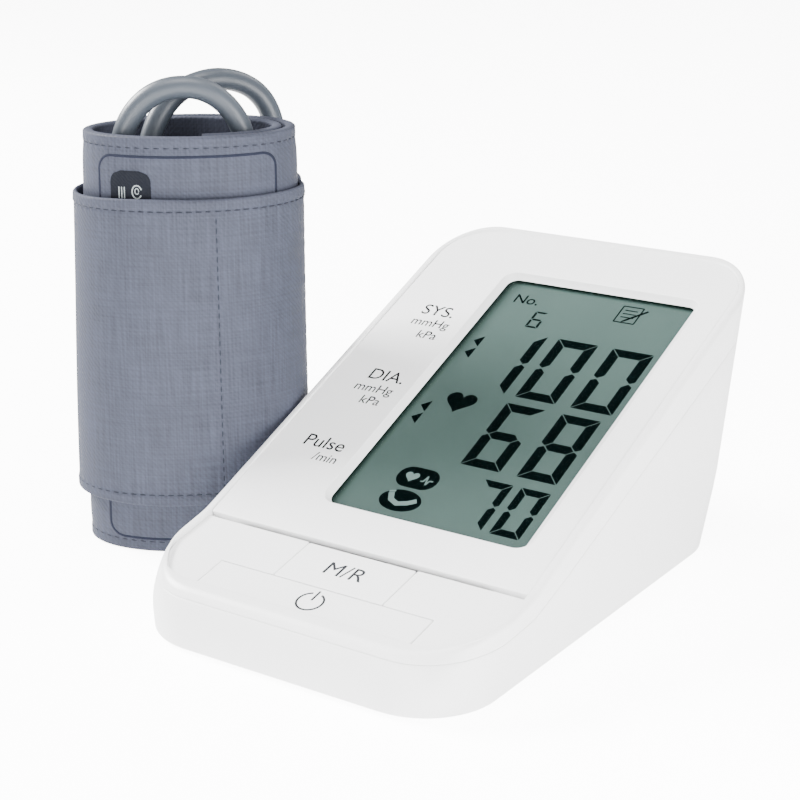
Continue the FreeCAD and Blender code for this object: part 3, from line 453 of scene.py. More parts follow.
rim_edge = rim_row(np.pi / 2)
seat_edge = seat_row(0.0, rim_height)
upper_rows = [case_row(0.4, over_seam(0.06)), case_row(0.06, over_seam(0.1))]
upper_rows += [case_row(0.0, over_seam(0.22, part)) for part in np.linspace(0, 0.97, 9)]
upper_rows += [rim_row(turn) for turn in np.linspace(0, np.pi / 2, 9)]
upper_rows += [between(rim_edge, seat_edge, part) for part in (0.2, 0.4, 0.6, 0.8, 0.92)]
upper_rows += [seat_row(-0.1, lambda y: rim_height(y) - 0.03), seat_row(0.0, lambda y: rim_height(y) - 0.15)]
upper_rows += [seat_row(0.0, lambda y: ledge_height(y, 0.0)), seat_row(12.0, lambda y: ledge_height(y, 0.0))]
upper_rows += [
    seat_row(12.0, lambda y: ledge_height(y, LEDGE_T)), case_row(WALL, lambda y: ledge_height(y, LEDGE_T))
]
upper_rows += [case_row(WALL, over_seam(0.06))]
upper_grid = (np.array(upper_rows) + UNIT_AT) * MM
case_upper = surface("case_upper", upper_grid, ring_rows=True, ring_columns=True)
case_upper.data.set_sharp_from_angle(angle=np.radians(50))
keep(case_upper, "display_unit", "case_white", "top_shell")

# %% [markdown]
# Plates and keys are thin slabs with softly rounded upper edges. A slab is made from its
# outline alone: the outline is drawn in by a growing margin while it climbs the rounding,
# and one more ring just inside keeps the flat top truly flat under smooth shading.

# %% slabs from an outline
def arc_outline(corners, steps=6):
    """Dense closed outline through (x, y, radius) corners, anticlockwise, each an arc."""
    spots = np.array([corner[:2] for corner in corners], float)
    radii = np.array([corner[2] for corner in corners], float)[:, None, None]
    back = np.roll(spots, 1, axis=0) - spots
    ahead = np.roll(spots, -1, axis=0) - spots
    back /= np.linalg.norm(back, axis=1, keepdims=True)
    ahead /= np.linalg.norm(ahead, axis=1, keepdims=True)
    across = back + ahead
    across /= np.linalg.norm(across, axis=1, keepdims=True)
    half = np.arccos(np.clip(np.sum(back * across, axis=1), -1, 1))[:, None, None]
    centre = spots[:, None] + across[:, None] * radii / np.sin(half)
    turn = np.linspace(-1, 1, steps)[None, :, None] * (np.pi / 2 - half)
    side = ahead - across * np.sum(ahead * across, axis=1, keepdims=True)
    side = (side / np.linalg.norm(side, axis=1, keepdims=True))[:, None]
    round_corner = centre + radii * (side * np.sin(turn) - across[:, None] * np.cos(turn))
    return round_corner.reshape(-1, 2)


def drawn_in(points, margin):
    """Outline moved inwards: each point goes along the mean of its two sides' normals."""
    ahead = np.roll(points, -1, axis=0) - points
    ahead /= np.maximum(np.linalg.norm(ahead, axis=1, keepdims=True), 1e-9)
    back = np.roll(ahead, 1, axis=0)
    inward = np.stack([-(ahead + back)[:, 1], (ahead + back)[:, 0]], axis=1)
    share = np.maximum(np.sum(inward * inward, axis=1, keepdims=True) / 2, 0.5)
    return points + inward / share * margin


def slab(name, points, place, bottom, top, edge):
    """Closed slab: straight sides, a quarter-round upper edge and a flat top."""
    levels = [(0.0, bottom), (0.0, (bottom + top) / 2)]
    levels += [(edge * (1 - np.cos(t)), top - edge * (1 - np.sin(t))) for t in np.linspace(0, np.pi / 2, 5)]
    levels.append((edge + 0.1, top))
    rings = []
    for margin, height in levels:
        ring = drawn_in(points, margin)
        rings.append(place(ring[:, 0], ring[:, 1], height))
    piece = surface(name, np.array(rings), ring_columns=True)
    piece.data.set_sharp_from_angle(angle=np.radians(50))
    return piece


# %% keys, blanks and the deck under them
MEMORY_KEY = (-17.6, 20.1, -18.9, -1.0)
POWER_KEY = (-36.5, 37.3, PANEL_FRONT, -19.3)
KEY_GAP, KEY_T, KEY_EDGE, NICK = 0.4, 1.8, 0.25, 0.5
PANEL_R = 17.0


def rectangle(x0, x1, y0, y1, radius):
    """Corners of a rectangle with one radius."""
    return [(x0, y0, radius), (x1, y0, radius), (x1, y1, radius), (x0, y1, radius)]


def blank_corners(side):
    """L-shaped blank beside the keys; side is -1 on the left and 1 on the right."""
    memory = MEMORY_KEY[0] - KEY_GAP if side < 0 else MEMORY_KEY[1] + KEY_GAP
    power = POWER_KEY[0] - KEY_GAP if side < 0 else POWER_KEY[1] + KEY_GAP
    step = MEMORY_KEY[2]
    corners = [(side * FACE_HALF, PANEL_FRONT, PANEL_R), (power, PANEL_FRONT, NICK), (power, step, NICK),
               (memory, step, NICK), (memory, -0.7, NICK), (side * FACE_HALF, -0.7, NICK)]
    return corners if side < 0 else corners[::-1]


def placed_slab(name, corners, bottom, top, edge, place=panel_point):
    """Slab on a list of corners."""
    return slab(name, arc_outline(corners, 9), place, bottom, top, edge)


memory_key = placed_slab("key_memory", rectangle(*MEMORY_KEY, NICK), -KEY_T, 0.0, KEY_EDGE)
power_key = placed_slab("key_power", rectangle(*POWER_KEY, NICK), -KEY_T, 0.0, KEY_EDGE)
keep(memory_key, "memory_key_body", "key_white", "memory_key")
keep(power_key, "power_key_body", "key_white", "power_key")
for side, label in ((-1, "left"), (1, "right")):
    blank = placed_slab("key_blank_" + label, blank_corners(side), LEDGE_KEYS + 0.07, 0.0, KEY_EDGE)
    keep(blank, "display_unit", "key_white", label + "_wing")

deck = placed_slab("key_deck", rectangle(-44.2, 44.2, -20.2, -0.9, 2.0), -5.3, LEDGE_KEYS, 0.2)
holes = []
for x0, x1, y0, y1 in (MEMORY_KEY, POWER_KEY):
    holes.append(barrel("stem_hole", panel_point, (x0 + x1) / 2, (y0 + y1) / 2, 2.5, -8.0, -1.0))
carve(deck, holes)
keep(deck, "display_unit", "case_white")

# %% [markdown]
# The face plate is a flat satin sheet with a bevelled window. It is another ring of
# sections: up the outer edge, across to the window's outline, down the bevel and back
# underneath. The bevel is what catches the pale line of light round the display.

# %% face plate
WINDOW = (-25.4, 47.1, 15.5, 136.0)
WINDOW_R, BEVEL, PLATE_T = 5.0, 1.3, 2.4


def plate_ring(margin):
    """The plate's outer outline, drawn in by a margin."""
    return outline(-FACE_HALF + margin, FACE_HALF - margin, 0.3 + margin, FACE_LENGTH - margin,
                   np.maximum(1.0 - margin, 0.3), 16.5 - margin)


def window_ring(margin):
    """The window's outline, drawn in by a margin."""
    u0, u1, v0, v1 = WINDOW
    radius = WINDOW_R - margin
    return outline(u0 + margin, u1 - margin, v0 + margin, v1 - margin, radius, radius)


def on_face(ring, w):
    """Ring of (u, v) points at a height over the face."""
    return face_point(ring[0], ring[1], w)


def eased_edge(ring_at, start, end, edge, outward):
    """Quarter-round between a plate's top and a wall, as rings."""
    steps = np.linspace(start, end, 5)
    side = 1 if outward else -1
    return [on_face(ring_at(side * edge * (1 - np.cos(t))), -edge * (1 - np.sin(t))) for t in steps]


plate_rows = [on_face(plate_ring(0.0), -PLATE_T)]
plate_rows += eased_edge(plate_ring, 0, np.pi / 2, 0.35, True)
outer, inner = np.array(plate_ring(0.8)), np.array(window_ring(-0.8))
plate_rows += [on_face(outer * (1 - part) + inner * part, 0.0) for part in np.linspace(0, 1, 9)]
plate_rows += eased_edge(window_ring, np.pi / 2, 0, 0.35, False)
plate_rows += [on_face(window_ring(BEVEL), -PLATE_T)]
face_panel = surface("face_panel", np.array(plate_rows), ring_rows=True, ring_columns=True)
face_panel.data.set_sharp_from_angle(angle=np.radians(50))
keep(face_panel, "display_unit", "face_white", "face_plate")

# %% [markdown]
# The display is a sheet of liquid crystal glass, grey green and slightly darker along the
# window's left and upper edges, where the window edge's shadow is painted into its colour. Its figures are
# thin dark cells on the glass. Each figure is built from up to seven bars with mitred ends, which is how such
# a display is etched.

# %% flat marks: many small prisms in one mesh
def prisms(name, shapes, place, low, high):
    """Thin prisms on closed (u, v) outlines: a top, a bottom and sides between them."""
    points, faces, first = [], [], 0
    for shape in shapes:
        ring = np.asarray(shape, float)
        if np.sum(ring[:, 0] * np.roll(ring[:, 1], -1) - ring[:, 1] * np.roll(ring[:, 0], -1)) < 0:
            ring = ring[::-1]
        count = len(ring)
        points += [place(ring[:, 0], ring[:, 1], low), place(ring[:, 0], ring[:, 1], high)]
        foot = first + np.arange(count)
        turned = np.roll(foot, -1)
        faces.append(foot[::-1].tolist())
        faces.append((foot + count).tolist())
        faces += np.stack([foot, turned, turned + count, foot + count], axis=1).tolist()
        first += 2 * count
    mesh = bpy.data.meshes.new(name)
    mesh.from_pydata(np.concatenate(points), [], faces)
    piece = bpy.data.objects.new(name, mesh)
    bpy.context.scene.collection.objects.link(piece)
    return piece


def ribbon(line, width):
    """Band of constant width along a line of (u, v) points."""
    line = np.asarray(line, float)
    ahead = np.gradient(line, axis=0)
    ahead /= np.linalg.norm(ahead, axis=1, keepdims=True)
    side = np.stack([-ahead[:, 1], ahead[:, 0]], axis=1) * width / 2
    return np.concatenate([line + side, (line - side)[::-1]])


def arc_line(u, v, radius_u, radius_v, start, end, count=36):
    """Points on part of an ellipse, angles in degrees."""
    turn = np.radians(np.linspace(start, end, count))
    return np.stack([u + radius_u * np.cos(turn), v + radius_v * np.sin(turn)], axis=1)


# %% seven-bar figures
BARS = {"0": "abcdef", "1": "bc", "6": "acdefg", "7": "abc", "8": "abcdefg"}


def figure_bars(sign, u0, u1, v0, v1, stroke, gap=0.22):
    """Outlines of the bars that one figure lights, inside its box."""
    width, height = u1 - u0, v1 - v0
    middle, s, g = height / 2, stroke, gap
    top = [(g, height), (width - g, height), (width - s - g, height - s), (s + g, height - s)]
    upper = [(width, height - g), (width - s, height - s - g), (width - s, middle + s / 2 + g),
             (width - s * 0.45, middle + g), (width, middle + s * 0.3 + g)]
    cross = [(s * 0.5 + g, middle), (s + g, middle + s / 2), (width - s - g, middle + s / 2),
             (width - s * 0.5 - g, middle), (width - s - g, middle - s / 2), (s + g, middle - s / 2)]
    top, upper, cross = (np.array(shape, float) for shape in (top, upper, cross))
    over, across = np.array([0.0, height]), np.array([width, 0.0])
    upside, leftside = np.array([1.0, -1.0]), np.array([-1.0, 1.0])
    shapes = {
        "a": top, "d": top * upside + over, "b": upper, "c": upper * upside + over,
        "f": upper * leftside + across, "e": upper * -1 + over + across, "g": cross,
    }
    return [shapes[bar] + np.array([u0, v0]) for bar in BARS[sign]]


FIGURES = [
    ("1", -11.2, 3.1, 79.5, 110.0, 3.5), ("0", 7.2, 21.6, 79.5, 110.0, 3.5),
    ("0", 27.0, 41.5, 79.5, 110.0, 3.5),
    ("6", 6.4, 20.4, 46.0, 76.0, 3.5), ("8", 26.2, 39.8, 46.0, 76.0, 3.5),
    ("7", 17.6, 27.6, 21.6, 42.0, 2.6), ("0", 30.4, 40.4, 21.6, 42.0, 2.6),
    ("6", -7.6, -3.0, 113.0, 121.6, 0.8),
]
lcd_shapes = []
for sign, u0, u1, v0, v1, stroke in FIGURES:
    lcd_shapes += figure_bars(sign, u0, u1, v0, v1, stroke)
print("lit bars:", len(lcd_shapes))

# %% [markdown]
# Around the figures the display shows small signs: arrow heads that point at the printed
# row names, a heart, a sheet of notes with a pen, and two dark badges with cut-out signs.
# They are plain signs of our own drawing, made from arcs and bands.

# %% signs on the display
def heart(u, v, size):
    """Heart: sine cubed across, four cosines up."""
    t = np.linspace(0, 2 * np.pi, 48, endpoint=False)
    up = 13 * np.cos(t) - 5 * np.cos(2 * t) - 2 * np.cos(3 * t) - np.cos(4 * t)
    return np.stack([u + size * 16 * np.sin(t) ** 3 / 32, v + size * up / 32], axis=1)


def arrow_head(v):
    """Small triangle that points left, at a height on the display."""
    return [(-20.9, v), (-18.0, v + 2.7), (-18.0, v - 2.7)]


lcd_shapes += [arrow_head(v) for v in (102.0, 95.8, 67.4, 61.4)]
lcd_shapes.append(heart(-8.9, 72.4, 10.6))
lcd_shapes.append(arc_outline(rectangle(-10.2, 4.2, 31.6, 40.6, 4.4), 10))
lcd_shapes.append(arc_line(-3.1, 25.7, 7.2, 4.6, 0, 350, 44))
sheet_line = [(20.3, 131.6), (27.6, 131.6), (27.6, 123.2), (20.3, 123.2)]
lcd_shapes += [ribbon([sheet_line[i], sheet_line[(i + 1) % 4]], 0.45) for i in range(4)]
lcd_shapes += [ribbon([(21.6, v), (26.2, v)], 0.4) for v in (129.6, 127.8, 126.0)]
lcd_shapes.append(ribbon([(23.6, 124.2), (29.6, 130.6)], 0.8))
lcd_shapes.append([(22.7, 123.2), (23.3, 124.5), (23.9, 123.9)])

# %% the glass, the lit cells and the cut-outs
GLASS_TOP, MARK_T = -3.6, 0.05
u0, u1, v0, v1 = WINDOW
glass_u, glass_v = np.meshgrid(np.linspace(u0 - 1.5, u1 + 1.5, 30), np.linspace(v0 - 1.5, v1 + 1.5, 46))
glass_levels = [face_point(glass_u, glass_v, level) for level in (GLASS_TOP, GLASS_TOP - 2.7)]
glass_uv = np.stack([(glass_u - u0) / (u1 - u0), (glass_v - v0) / (v1 - v0)], axis=-1)


def sheet_slab(name, top, under, uv):
    """Flat closed slab: a top grid, its underside and the four edges between them."""
    rows, columns = top.shape[:2]
    index = np.arange(rows * columns).reshape(rows, columns)
    low = index + rows * columns
    quads = [index[:-1, :-1], index[:-1, 1:], index[1:, 1:], index[1:, :-1]]
    faces = np.stack(quads, axis=-1).reshape(-1, 4)
    below = faces[:, ::-1] + rows * columns
    rim = np.concatenate([index[0, :-1], index[:-1, -1], index[-1, :0:-1], index[:0:-1, 0]])
    ahead = np.roll(rim, -1)
    sides = np.stack([rim, low.ravel()[rim], low.ravel()[ahead], ahead], axis=1)
    every = np.concatenate([faces, below, sides])
    mesh = bpy.data.meshes.new(name)
    mesh.from_pydata(np.concatenate([top.reshape(-1, 3), under.reshape(-1, 3)]), [], every.tolist())
    loops = np.zeros(len(mesh.loops), int)
    mesh.loops.foreach_get("vertex_index", loops)
    layer = mesh.uv_layers.new(name="cloth")
    layer.data.foreach_set("uv", np.tile(uv.reshape(-1, 2), (2, 1))[loops].ravel())
    piece = bpy.data.objects.new(name, mesh)
    bpy.context.scene.collection.objects.link(piece)
    return piece


lcd_panel = sheet_slab("lcd_panel", glass_levels[0], glass_levels[1], glass_uv)
keep(lcd_panel, "display_unit", "lcd_glass", "display_glass")

badge_signs = [heart(-5.2, 36.3, 4.8)]
pulse = [(-1.6, 35.2), (-0.6, 35.2), (0.0, 37.8), (0.8, 34.0), (1.4, 36.0), (2.6, 36.0)]
badge_signs += [ribbon(pulse[i:i + 2], 0.5) for i in range(len(pulse) - 1)]
arm = [(-7.6, 28.2), (-6.2, 25.4), (-3.4, 24.1), (-0.2, 25.2), (2.2, 26.9)]
badge_signs.append(ribbon(arm, 1.9))
badge_signs.append(ribbon([(-8.6, 28.4), (-6.6, 29.2)], 0.7))
lcd_marks = prisms("lcd_marks", lcd_shapes, face_point, GLASS_TOP + 0.01, GLASS_TOP + MARK_T)
lcd_signs = prisms(
    "lcd_badge_signs", badge_signs, face_point, GLASS_TOP + MARK_T - 0.01, GLASS_TOP + 2 * MARK_T
)
keep(lcd_marks, "display_unit", "lcd_glass")
keep(lcd_signs, "display_unit", "lcd_glass")

# %% [markdown]
# The row names are ordinary printed words: the systolic and diastolic rows with their
# units, and the pulse row. A text curve becomes a mesh first, and its letters are then
# laid on the plane, so that the finished print sits at the origin like everything else.

# %% printed words
def lettering(name, words, place, lift, thickness=0.04):
    """Words laid on a plane: each is (text, letter height, u, v, how much to thicken the strokes)."""
    points, faces, first = [], [], 0
    for text, size, u, v, weight in words:
        curve = bpy.data.curves.new(name, "FONT")
        curve.body = text
        curve.size = size / 0.7
        curve.align_x = "CENTER"
        curve.align_y = "CENTER"
        curve.offset = weight
        curve.extrude = thickness / 2
        holder = bpy.data.objects.new(name, curve)
        bpy.context.scene.collection.objects.link(holder)
        graph = bpy.context.evaluated_depsgraph_get()
        mesh = bpy.data.meshes.new_from_object(holder.evaluated_get(graph))
        flat = np.zeros(len(mesh.vertices) * 3)
        mesh.vertices.foreach_get("co", flat)
        flat = flat.reshape(-1, 3)
        points.append(place(flat[:, 0] + u, flat[:, 1] + v, flat[:, 2] + lift + thickness / 2))
        faces += [[first + corner for corner in face.vertices] for face in mesh.polygons]
        first += len(flat)
        bpy.data.objects.remove(holder)
    mesh = bpy.data.meshes.new(name)
    mesh.from_pydata(np.concatenate(points), [], faces)
    piece = bpy.data.objects.new(name, mesh)
    bpy.context.scene.collection.objects.link(piece)
    return piece


FACE_WORDS = [
    ("SYS.", 5.2, -37.9, 108.9, 0.012), ("mmHg", 3.8, -37.5, 102.4, 0.008), ("kPa", 3.8, -35.2, 96.2, 0.008),
    ("DIA.", 5.2, -36.6, 73.2, 0.012), ("mmHg", 3.8, -37.7, 66.5, 0.008), ("kPa", 3.8, -35.6, 60.8, 0.008),
    ("Pulse", 5.2, -38.4, 38.3, 0.012), ("/min", 3.6, -34.2, 32.1, 0.008),
]
face_print = lettering("face_print", FACE_WORDS, face_point, 0.01)
keep(face_print, "display_unit", "face_white")
lcd_word = lettering("lcd_word", [("No.", 4.4, -13.9, 126.4, 0.02)], face_point, GLASS_TOP + 0.01)
keep(lcd_word, "display_unit", "lcd_glass")

middles = [((key[0] + key[1]) / 2, (key[2] + key[3]) / 2) for key in (MEMORY_KEY, POWER_KEY)]
memory_print = lettering("memory_key_print", [("M/R", 5.8, *middles[0], 0.0)], panel_point, 0.01)
keep(memory_print, "memory_key_body", "key_white")
power_u, power_v = middles[1]
power_sign = [ribbon(arc_line(power_u, power_v, 4.0, 4.0, 112, 428, 60), 0.65)]
power_sign.append(ribbon([(power_u, power_v + 0.6), (power_u, power_v + 5.2)], 0.65))
power_print = prisms("power_key_print", power_sign, panel_point, 0.01, 0.05)
keep(power_print, "power_key_body", "key_white")

# %% [markdown]
# The cuff is one long padded band rolled on an oval, with a narrower strap that goes once
# more round the outside. Cloth on a roll hardly sags, so instead of a simulation the band
# is a spiral: a winding angle says where it is on the oval, and a depth says how far
# through the band. Hems, stitch puckers and soft ripples are added to the depth.

# %% the winding
OVAL_A, OVAL_B, OVAL_SHIFT, PITCH = 26.5, 15.0, 0.5, 4.4
WRAP_START, WRAP_END, TAB_END = -438.0, 120.0, 458.0
BODY_T, STRAP_T, CUFF_HEIGHT = 4.0, 1.6, 135.5
STRAP_LOW, STRAP_HIGH = 17.3, 116.5
TUBE_ANGLE, BULGE, BULGE_HALF, FLARE = 37.0, 8.3, 31.0, 2.0


def roll_plan(degrees, depth):
    """Point on the roll from above: the oval, moved out along its normal by turns and depth."""
    turn = np.radians(degrees)
    across, along = np.cos(turn) / OVAL_A, np.sin(turn) / OVAL_B
    size = np.hypot(across, along)
    away = (degrees - TUBE_ANGLE - 360.0) / BULGE_HALF
    hump = BULGE * np.cos(np.clip(away, -1, 1) * np.pi / 2) ** 2
    out = PITCH * (degrees - WRAP_START) / 360.0 + depth + hump
    x = OVAL_A * np.cos(turn) + OVAL_SHIFT + across / size * out
    y = OVAL_B * np.sin(turn) + along / size * out
    return x, y


def spread(degrees, z):
    """Away from the tube the roll stands wider at its foot, and the strap round it is slack."""
    left = ((1 - np.cos(np.radians(degrees))) / 2) ** 2
    slack = np.clip((degrees - WRAP_END) / 40, 0, 1) * np.clip((TAB_END - degrees) / 60, 0, 1)
    return left * (FLARE * (1 - 2 * z / CUFF_HEIGHT) + 1.2 * slack)


def roll_point(degrees, depth, z):
    """Point on the roll, set down in the scene."""
    x, y = roll_plan(degrees, depth + spread(degrees, z))
    return cuff_point(x, y, z)


LENGTH_DEGREES = np.linspace(WRAP_START, TAB_END, 4000)
LENGTH_PLAN = np.stack(roll_plan(LENGTH_DEGREES, BODY_T / 2), axis=-1)
LENGTH_MM = np.r_[0, np.cumsum(np.linalg.norm(np.diff(LENGTH_PLAN, axis=0), axis=1))]


def length_at(degrees):
    """Millimetres of band from its inner end to a winding angle."""
    return np.interp(degrees, LENGTH_DEGREES, LENGTH_MM)


def degrees_at(length):
    """Winding angle at a length of band."""
    return np.interp(length, LENGTH_MM, LENGTH_DEGREES)


BODY_LENGTH = length_at(WRAP_END) - length_at(WRAP_START)
STRAP_LENGTH = length_at(TAB_END) - length_at(WRAP_END)
print("band", round(BODY_LENGTH), "mm, strap", round(STRAP_LENGTH), "mm")

# %% hems, puckers and ripples
HEM, STITCH_PITCH = 3.5, 3.0


def hem_shape(length, z, low, high, proud):
    """Depth change near the two long edges: a folded hem, a stitched groove and its puckers."""
    edge = np.minimum(z - low, high - z)
    fold = proud / (1 + np.exp((edge - HEM) / 0.18))
    groove = -0.22 * np.exp(-((edge - HEM - 0.1) / 0.4) ** 2)
    pucker = 0.10 * np.sin(2 * np.pi * length / STITCH_PITCH) * np.exp(-((edge - HEM) / 1.3) ** 2)
    slow = 0.10 * np.sin(length / 5.3 + 0.7 * np.sin(length / 11.0)) * np.exp(-(edge / 6.0) ** 2)
    return fold + groove + pucker + slow


def body_skin(degrees, z):
    """Depth of the band's outer face: padding, thinner edges, hems and slow ripples."""
    length = length_at(degrees)
    edge = np.minimum(z, CUFF_HEIGHT - z)
    pad = BODY_T - 0.55 * np.exp(-((edge - 2.0) / 4.5) ** 2)
    slow = 0.11 * np.sin(length / 9.1 + z / 40) * np.sin(z / 27 + 0.9) - 0.12
    return pad + hem_shape(length, z, 0.0, CUFF_HEIGHT, 0.22) + slow


def body_lining(degrees, z):
    """Depth of the band's inner face: it mirrors the thinner edges."""
    edge = np.minimum(z, CUFF_HEIGHT - z)
    return 0.45 * np.exp(-((edge - 2.0) / 4.5) ** 2) + 0 * degrees


def strap_skin(degrees, z):
    """Depth of the strap's outer face: hems, a middle seam and fine creases to its right."""
    length = length_at(degrees)
    seam = length - length_at(STRAP_SEAM)
    overlap = 0.28 / (1 + np.exp(-seam / 0.15)) * np.exp(-np.maximum(seam, 0) / 14.0)
    groove = -0.2 * np.exp(-((seam - 1.6) / 0.4) ** 2)
    reach = np.exp(-((degrees - 345.0) / 30.0) ** 2)
    creases = 0.10 * np.sin(z / 0.75 + 1.4 * np.sin(length / 6.0)) * np.sin(z / 5.1 + length / 23.0) * reach
    slow = 0.16 * np.sin(length / 15.0 + z / 33.0) + 0.10 * np.sin(z / 17.0 - length / 21.0)
    return STRAP_T + overlap + groove + creases + slow + hem_shape(length, z, STRAP_LOW, STRAP_HIGH, 0.3)


def strap_lining(degrees, z):
    """Depth of the strap's inner face."""
    return 0.05 + 0 * degrees + 0 * z


STRAP_SEAM = 283.0


def band_grid(degrees, low, high, skin, lining, wave, heights):
    """Closed cross-section at every winding angle: up the skin, over the hem, down the lining."""
    edge = 0.8
    climb = low + edge + (high - low - 2 * edge) * heights
    over = np.linspace(0, np.pi, 9)[1:-1]
    turned = edge * np.sin(over)
    z = np.concatenate([climb, high - edge + turned, climb[::-1], low + edge - turned])
    outer, inner = np.ones(len(climb)), np.zeros(len(climb))
    share = np.concatenate([outer, (1 + np.cos(over)) / 2, inner, (1 - np.cos(over)) / 2])
    angle = degrees[:, None]
    level = np.clip(z, low + edge, high - edge)[None, :]
    depth = skin(angle, level) * share + lining(angle, level) * (1 - share)
    length = length_at(angle)
    lift = wave(length) * (2 * (z[None, :] - low) / (high - low) - 1)
    grid = roll_point(angle, depth, z[None, :] + lift)
    uv = np.stack(np.broadcast_arrays(length * MM, z[None, :] * MM), axis=-1)
    return grid, uv


def still(length):
    """An edge that stays level."""
    return 0 * length


def wavy(length):
    """The strap's edges wander a little."""
    return 0.35 * np.sin(length / 27.0 + 1.0) + 0.15 * np.sin(length / 8.3)


def edge_rich(count, spread):
    """Heights from 0 to 1, closer together near both edges."""
    t = np.linspace(0, 1, count)
    return t - spread * np.sin(2 * np.pi * t) / (2 * np.pi)


# %% the band and the strap
body_degrees = np.linspace(WRAP_START, WRAP_END, 620)
body_grid, body_uv = band_grid(
    body_degrees, 0.0, CUFF_HEIGHT, body_skin, body_lining, still, edge_rich(74, 0.8)
)
cuff_roll = surface("cuff_roll", body_grid, ring_columns=True, flip=True, uv=body_uv)
keep(
    cuff_roll, "cuff", "cloth_grey",
    "cuff_outer_cloth", "cuff_inner_cloth", "cuff_bladder", "cuff_stiffener",
)

TAB_SPLIT = 412.0
strap_degrees = np.linspace(WRAP_END + 0.5, TAB_SPLIT, 420)
strap_grid, strap_uv = band_grid(
    strap_degrees, STRAP_LOW, STRAP_HIGH, strap_skin, strap_lining, wavy, edge_rich(110, 0.6))
cuff_strap = surface("cuff_strap", strap_grid, ring_columns=True, flip=True, uv=strap_uv)
keep(cuff_strap, "cuff", "cloth_grey", "cuff_tail")

# %% [markdown]
# The last stretch of the strap peels away when the real strap is pulled. It is a mesh of
# its own, with its transform baked in, and it takes the place of the model's tab.

# %% the strap's free end
end_degrees = np.linspace(TAB_SPLIT, TAB_END, 70)
end_grid, end_uv = band_grid(
    end_degrees, STRAP_LOW, STRAP_HIGH, strap_skin, lambda a, z: STRAP_T / 2 + 0 * a + 0 * z, wavy,
    edge_rich(110, 0.6))
strap_end = surface("cuff_strap_end", end_grid, ring_columns=True, flip=True, uv=end_uv)
fold = [tuple(roll_point(np.array(angle), STRAP_T, 68.0)) for angle in (424.0, 433.0)]
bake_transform(strap_end)
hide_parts("tail_tab")

# %% [markdown]
# Stitches are real thread: short thick dashes sunk at both ends. One dash is a small
# lens-shaped grid, and arrays of centres and directions copy it along every hem and seam
# at once, without a loop over the copies.

# %% stitches
def dashes(name, degrees, z, skin, upright, length=2.0):
    """Copies of one thread dash: its length runs along the band, or upright along a seam."""
    ring = np.linspace(0, 2 * np.pi, 6, endpoint=False)
    along = np.array([-1.0, -0.7, 0.0, 0.7, 1.0])
    girth = 0.24 * np.sqrt(np.clip(1 - along ** 2, 0.04, 1))
    here = roll_point(degrees, skin(degrees, z) + 0.02, z)
    out = roll_point(degrees, skin(degrees, z) + 1.02, z) - here
    up = np.zeros_like(out)
    up[:, 2] = MM
    side = np.cross(out, up) / MM
    first, second = (up, side) if upright else (side, up)
    lengthwise = along[None, :, None, None] * (length / 2) * first[:, None, None, :]
    across = girth[None, :, None, None] * np.cos(ring)[None, None, :, None] * second[:, None, None, :]
    high = girth[None, :, None, None] * np.sin(ring)[None, None, :, None] * out[:, None, None, :]
    points = here[:, None, None, :] + lengthwise + across + high
    copies, rows, columns = points.shape[:3]
    index = np.arange(copies * rows * columns).reshape(copies, rows, columns)
    index = np.concatenate([index, index[:, :, :1]], axis=2)
    corners = (index[:, :-1, :-1], index[:, :-1, 1:], index[:, 1:, 1:], index[:, 1:, :-1])
    faces = np.stack(corners, axis=-1).reshape(-1, 4).tolist()
    faces += index[:, 0, :columns][:, ::-1].tolist() + index[:, -1, :columns].tolist()
    mesh = bpy.data.meshes.new(name)
    mesh.from_pydata(points.reshape(-1, 3), [], faces)
    mesh.polygons.foreach_set("use_smooth", np.ones(len(faces), bool))
    piece = bpy.data.objects.new(name, mesh)
    bpy.context.scene.collection.objects.link(piece)
    return piece


def hem_row(start, end, z):
    """Dash centres along one hem."""
    lengths = np.arange(length_at(start) + 2, length_at(end) - 1, STITCH_PITCH)
    degrees = degrees_at(lengths)
    return degrees, np.full(len(degrees), z)


def joined(rows):
    """Several rows of dash centres as one."""
    return np.concatenate([row[0] for row in rows]), np.concatenate([row[1] for row in rows])


body_rows = [hem_row(-300.0, WRAP_END - 1, z) for z in (HEM, CUFF_HEIGHT - HEM)]
keep(dashes("band_stitches", *joined(body_rows), body_skin, False), "cuff", "cloth_grey")
strap_rows = [hem_row(WRAP_END + 2, TAB_SPLIT - 1, z) for z in (STRAP_LOW + HEM, STRAP_HIGH - HEM)]
strap_stitches = keep(dashes("strap_stitches", *joined(strap_rows), strap_skin, False), "cuff", "cloth_grey")
seam_z = np.arange(STRAP_LOW + HEM + 2, STRAP_HIGH - HEM - 1, STITCH_PITCH)
seam_degrees = np.full(len(seam_z), degrees_at(length_at(STRAP_SEAM) + 1.6))
seam_stitches = keep(
    dashes("strap_seam_stitches", seam_degrees, seam_z, strap_skin, True), "cuff", "cloth_grey"
)

# %% [markdown]
# Printed on the band is a thin dark frame with round corners, and near its corner sits a
# small woven label. Both follow the cloth: their outlines are drawn flat, in millimetres
# of cloth, and then wound on to the roll a hair above its surface.

# %% printed frame and label
PRINT_FROM, PRINT_TO, PRINT_LOW, PRINT_HIGH = -147.0, -33.0, 4.6, 129.4
LABEL_FROM, LABEL_TO, LABEL_LOW, LABEL_HIGH = -137.0, -110.0, 82.5, 125.0


def wound(length, z, lift):
    """Flat cloth coordinates wound on to the band's outer face."""
    degrees = degrees_at(length)
    return roll_point(degrees, body_skin(degrees, z) + lift, z)


PRINT_SAMPLES = loop_samples(8, 90, 40)


